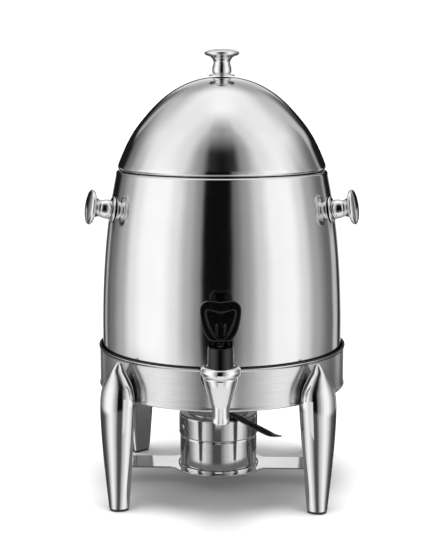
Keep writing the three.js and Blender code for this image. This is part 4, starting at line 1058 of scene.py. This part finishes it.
# ---------------------------------------------------------------- studio
world = bpy.data.worlds.new("studio")
scene.world = world
world.use_nodes = True
world.node_tree.nodes.clear()
k = Nodes(world.node_tree)
out = k.new("ShaderNodeOutputWorld")
tc = k.new("ShaderNodeTexCoord")
sep = k.new("ShaderNodeSeparateXYZ")
k.link(tc.outputs["Generated"], sep.inputs[0])
azim = k.math("DIVIDE", k.math("ARCTAN2", sep.outputs[0], k.math("MULTIPLY", sep.outputs[1], -1.0)), math.pi)    # -1..1, 0 towards the front
elev = k.math("DIVIDE", k.math("ARCSINE", sep.outputs[2]), math.pi / 2)                                            # -1..1
unit = k.remap(azim, -1, 1, 0, 1)
low = ramp(k, unit, [(-180, 1.1), (-168, 0.9), (-160, 0.06), (-154, 0.05), (-147, 0.55), (-141, 0.12), (-130, 0.22), (-110, 0.55), (-96, 1.05), (-80, 1.32), (-60, 1.34), (-46, 1.05), (-34, 0.6), (-22, 0.32), (-17, 0.005),
                     (8, 0.005), (13, 0.2), (24, 0.42), (38, 0.86), (52, 1.25), (72, 1.3), (86, 0.95), (100, 0.5), (124, 0.18), (130, 0.16), (136, 0.62), (143, 0.62), (149, 0.03), (157, 0.05), (164, 0.75), (180, 1.1)])
mid = ramp(k, unit, [(-180, 0.55), (-160, 0.5), (-135, 0.7), (-100, 1.12), (-75, 1.2), (-50, 1.0), (-28, 0.38), (-15, 0.03), (0, 0.01), (15, 0.03), (28, 0.38), (50, 1.0), (75, 1.2), (100, 1.12), (135, 0.7), (160, 0.5), (180, 0.55)])
high = ramp(k, unit, [(-180, 1.28), (-120, 1.15), (-75, 1.1), (-45, 0.9), (-20, 0.5), (0, 0.4), (20, 0.5), (45, 0.9), (75, 1.1), (120, 1.15), (180, 1.28)])
down = ramp(k, unit, [(-180, 0.1), (-150, 0.07), (-125, 0.06), (-108, 0.1), (-98, 0.16), (-90, 0.36), (-82, 0.62), (-72, 1.0), (-56, 1.25), (-40, 0.95), (-30, 0.62), (-22, 0.36), (-15, 0.1),
                      (6, 0.1), (13, 0.36), (24, 0.7), (38, 0.98), (52, 1.25), (72, 1.0), (82, 0.62), (90, 0.36), (98, 0.16), (108, 0.1), (125, 0.06), (150, 0.07), (180, 0.1)])
deep = ramp(k, unit, [(-180, 0.45), (-120, 0.5), (-80, 0.95), (0, 1.0), (80, 0.95), (120, 0.5), (180, 0.45)])
fd = k.remap(elev, -0.50, -0.38, 1, 0, smooth=True)
f0 = k.remap(elev, -0.172, -0.143, 1, 0, smooth=True)
f1 = k.remap(elev, 0.17, 0.46, 0, 1, smooth=True)
f2 = k.remap(elev, 0.5, 0.76, 0, 1, smooth=True)
f3 = k.remap(elev, 0.78, 0.97, 0, 1, smooth=True)
back = ramp(k, unit, [(-180, 1), (-142, 1), (-132, 0), (132, 0), (142, 1), (180, 1)])
window = k.math("MULTIPLY", k.remap(elev, -0.036, -0.012, 0, 1, smooth=True), k.remap(elev, 0.14, 0.2, 1, 0, smooth=True))
sky = k.mix(f3, k.mix(f2, k.mix(f1, k.mix(f0, low, k.mix(fd, down, deep)), mid), high), (1.3, 1.3, 1.3))
sky = k.mix(k.math("MULTIPLY", back, window), sky, (0.012, 0.012, 0.012))
lp = k.new("ShaderNodeLightPath")
bg = k.new("ShaderNodeBackground")
k.link(sky, bg.inputs[0])
k.link(k.remap(lp.outputs["Is Diffuse Ray"], 0, 1, 1.0, 0.98), bg.inputs[1])
plain = k.new("ShaderNodeBackground", Strength=1.0)
plain.inputs[0].default_value = (1.08, 1.08, 1.08, 1)
mx = k.new("ShaderNodeMixShader")
k.link(lp.outputs["Is Camera Ray"], mx.inputs[0])
k.link(bg.outputs[0], mx.inputs[1])
k.link(plain.outputs[0], mx.inputs[2])
k.link(mx.outputs[0], out.inputs[0])

# broad soft overhead light for the matt surfaces and the floor; the metal doesn't see it
ld = bpy.data.lights.new("overhead", "SUN")
ld.energy, ld.angle = 2.1, math.radians(24)
lo = bpy.data.objects.new("overhead", ld)
lo.matrix_world = T((0, 0, 2)) @ Matrix.Rotation(math.radians(7), 4, "X")
lo.visible_glossy = False
scene.collection.objects.link(lo)

# ---------------------------------------------------------------- camera
cd = bpy.data.cameras.new("camera")
cam = bpy.data.objects.new("camera", cd)
scene.collection.objects.link(cam)
cd.sensor_fit, cd.sensor_width, cd.sensor_height, cd.lens = "AUTO", 36.0, 36.0, 81.95
cd.clip_start, cd.clip_end = 0.05, 100
pitch, yaw = math.radians(9.125), math.radians(0.073)
fwd = Vector((math.sin(yaw) * math.cos(pitch), math.cos(yaw) * math.cos(pitch), -math.sin(pitch)))
right = fwd.cross(Vector((0, 0, 1))).normalized()
up = right.cross(fwd)
cm = Matrix((right, up, -fwd)).transposed().to_4x4()
cm.translation = Vector((0, -1.4518, 0.4914))
cam.matrix_world = cm
scene.camera = cam
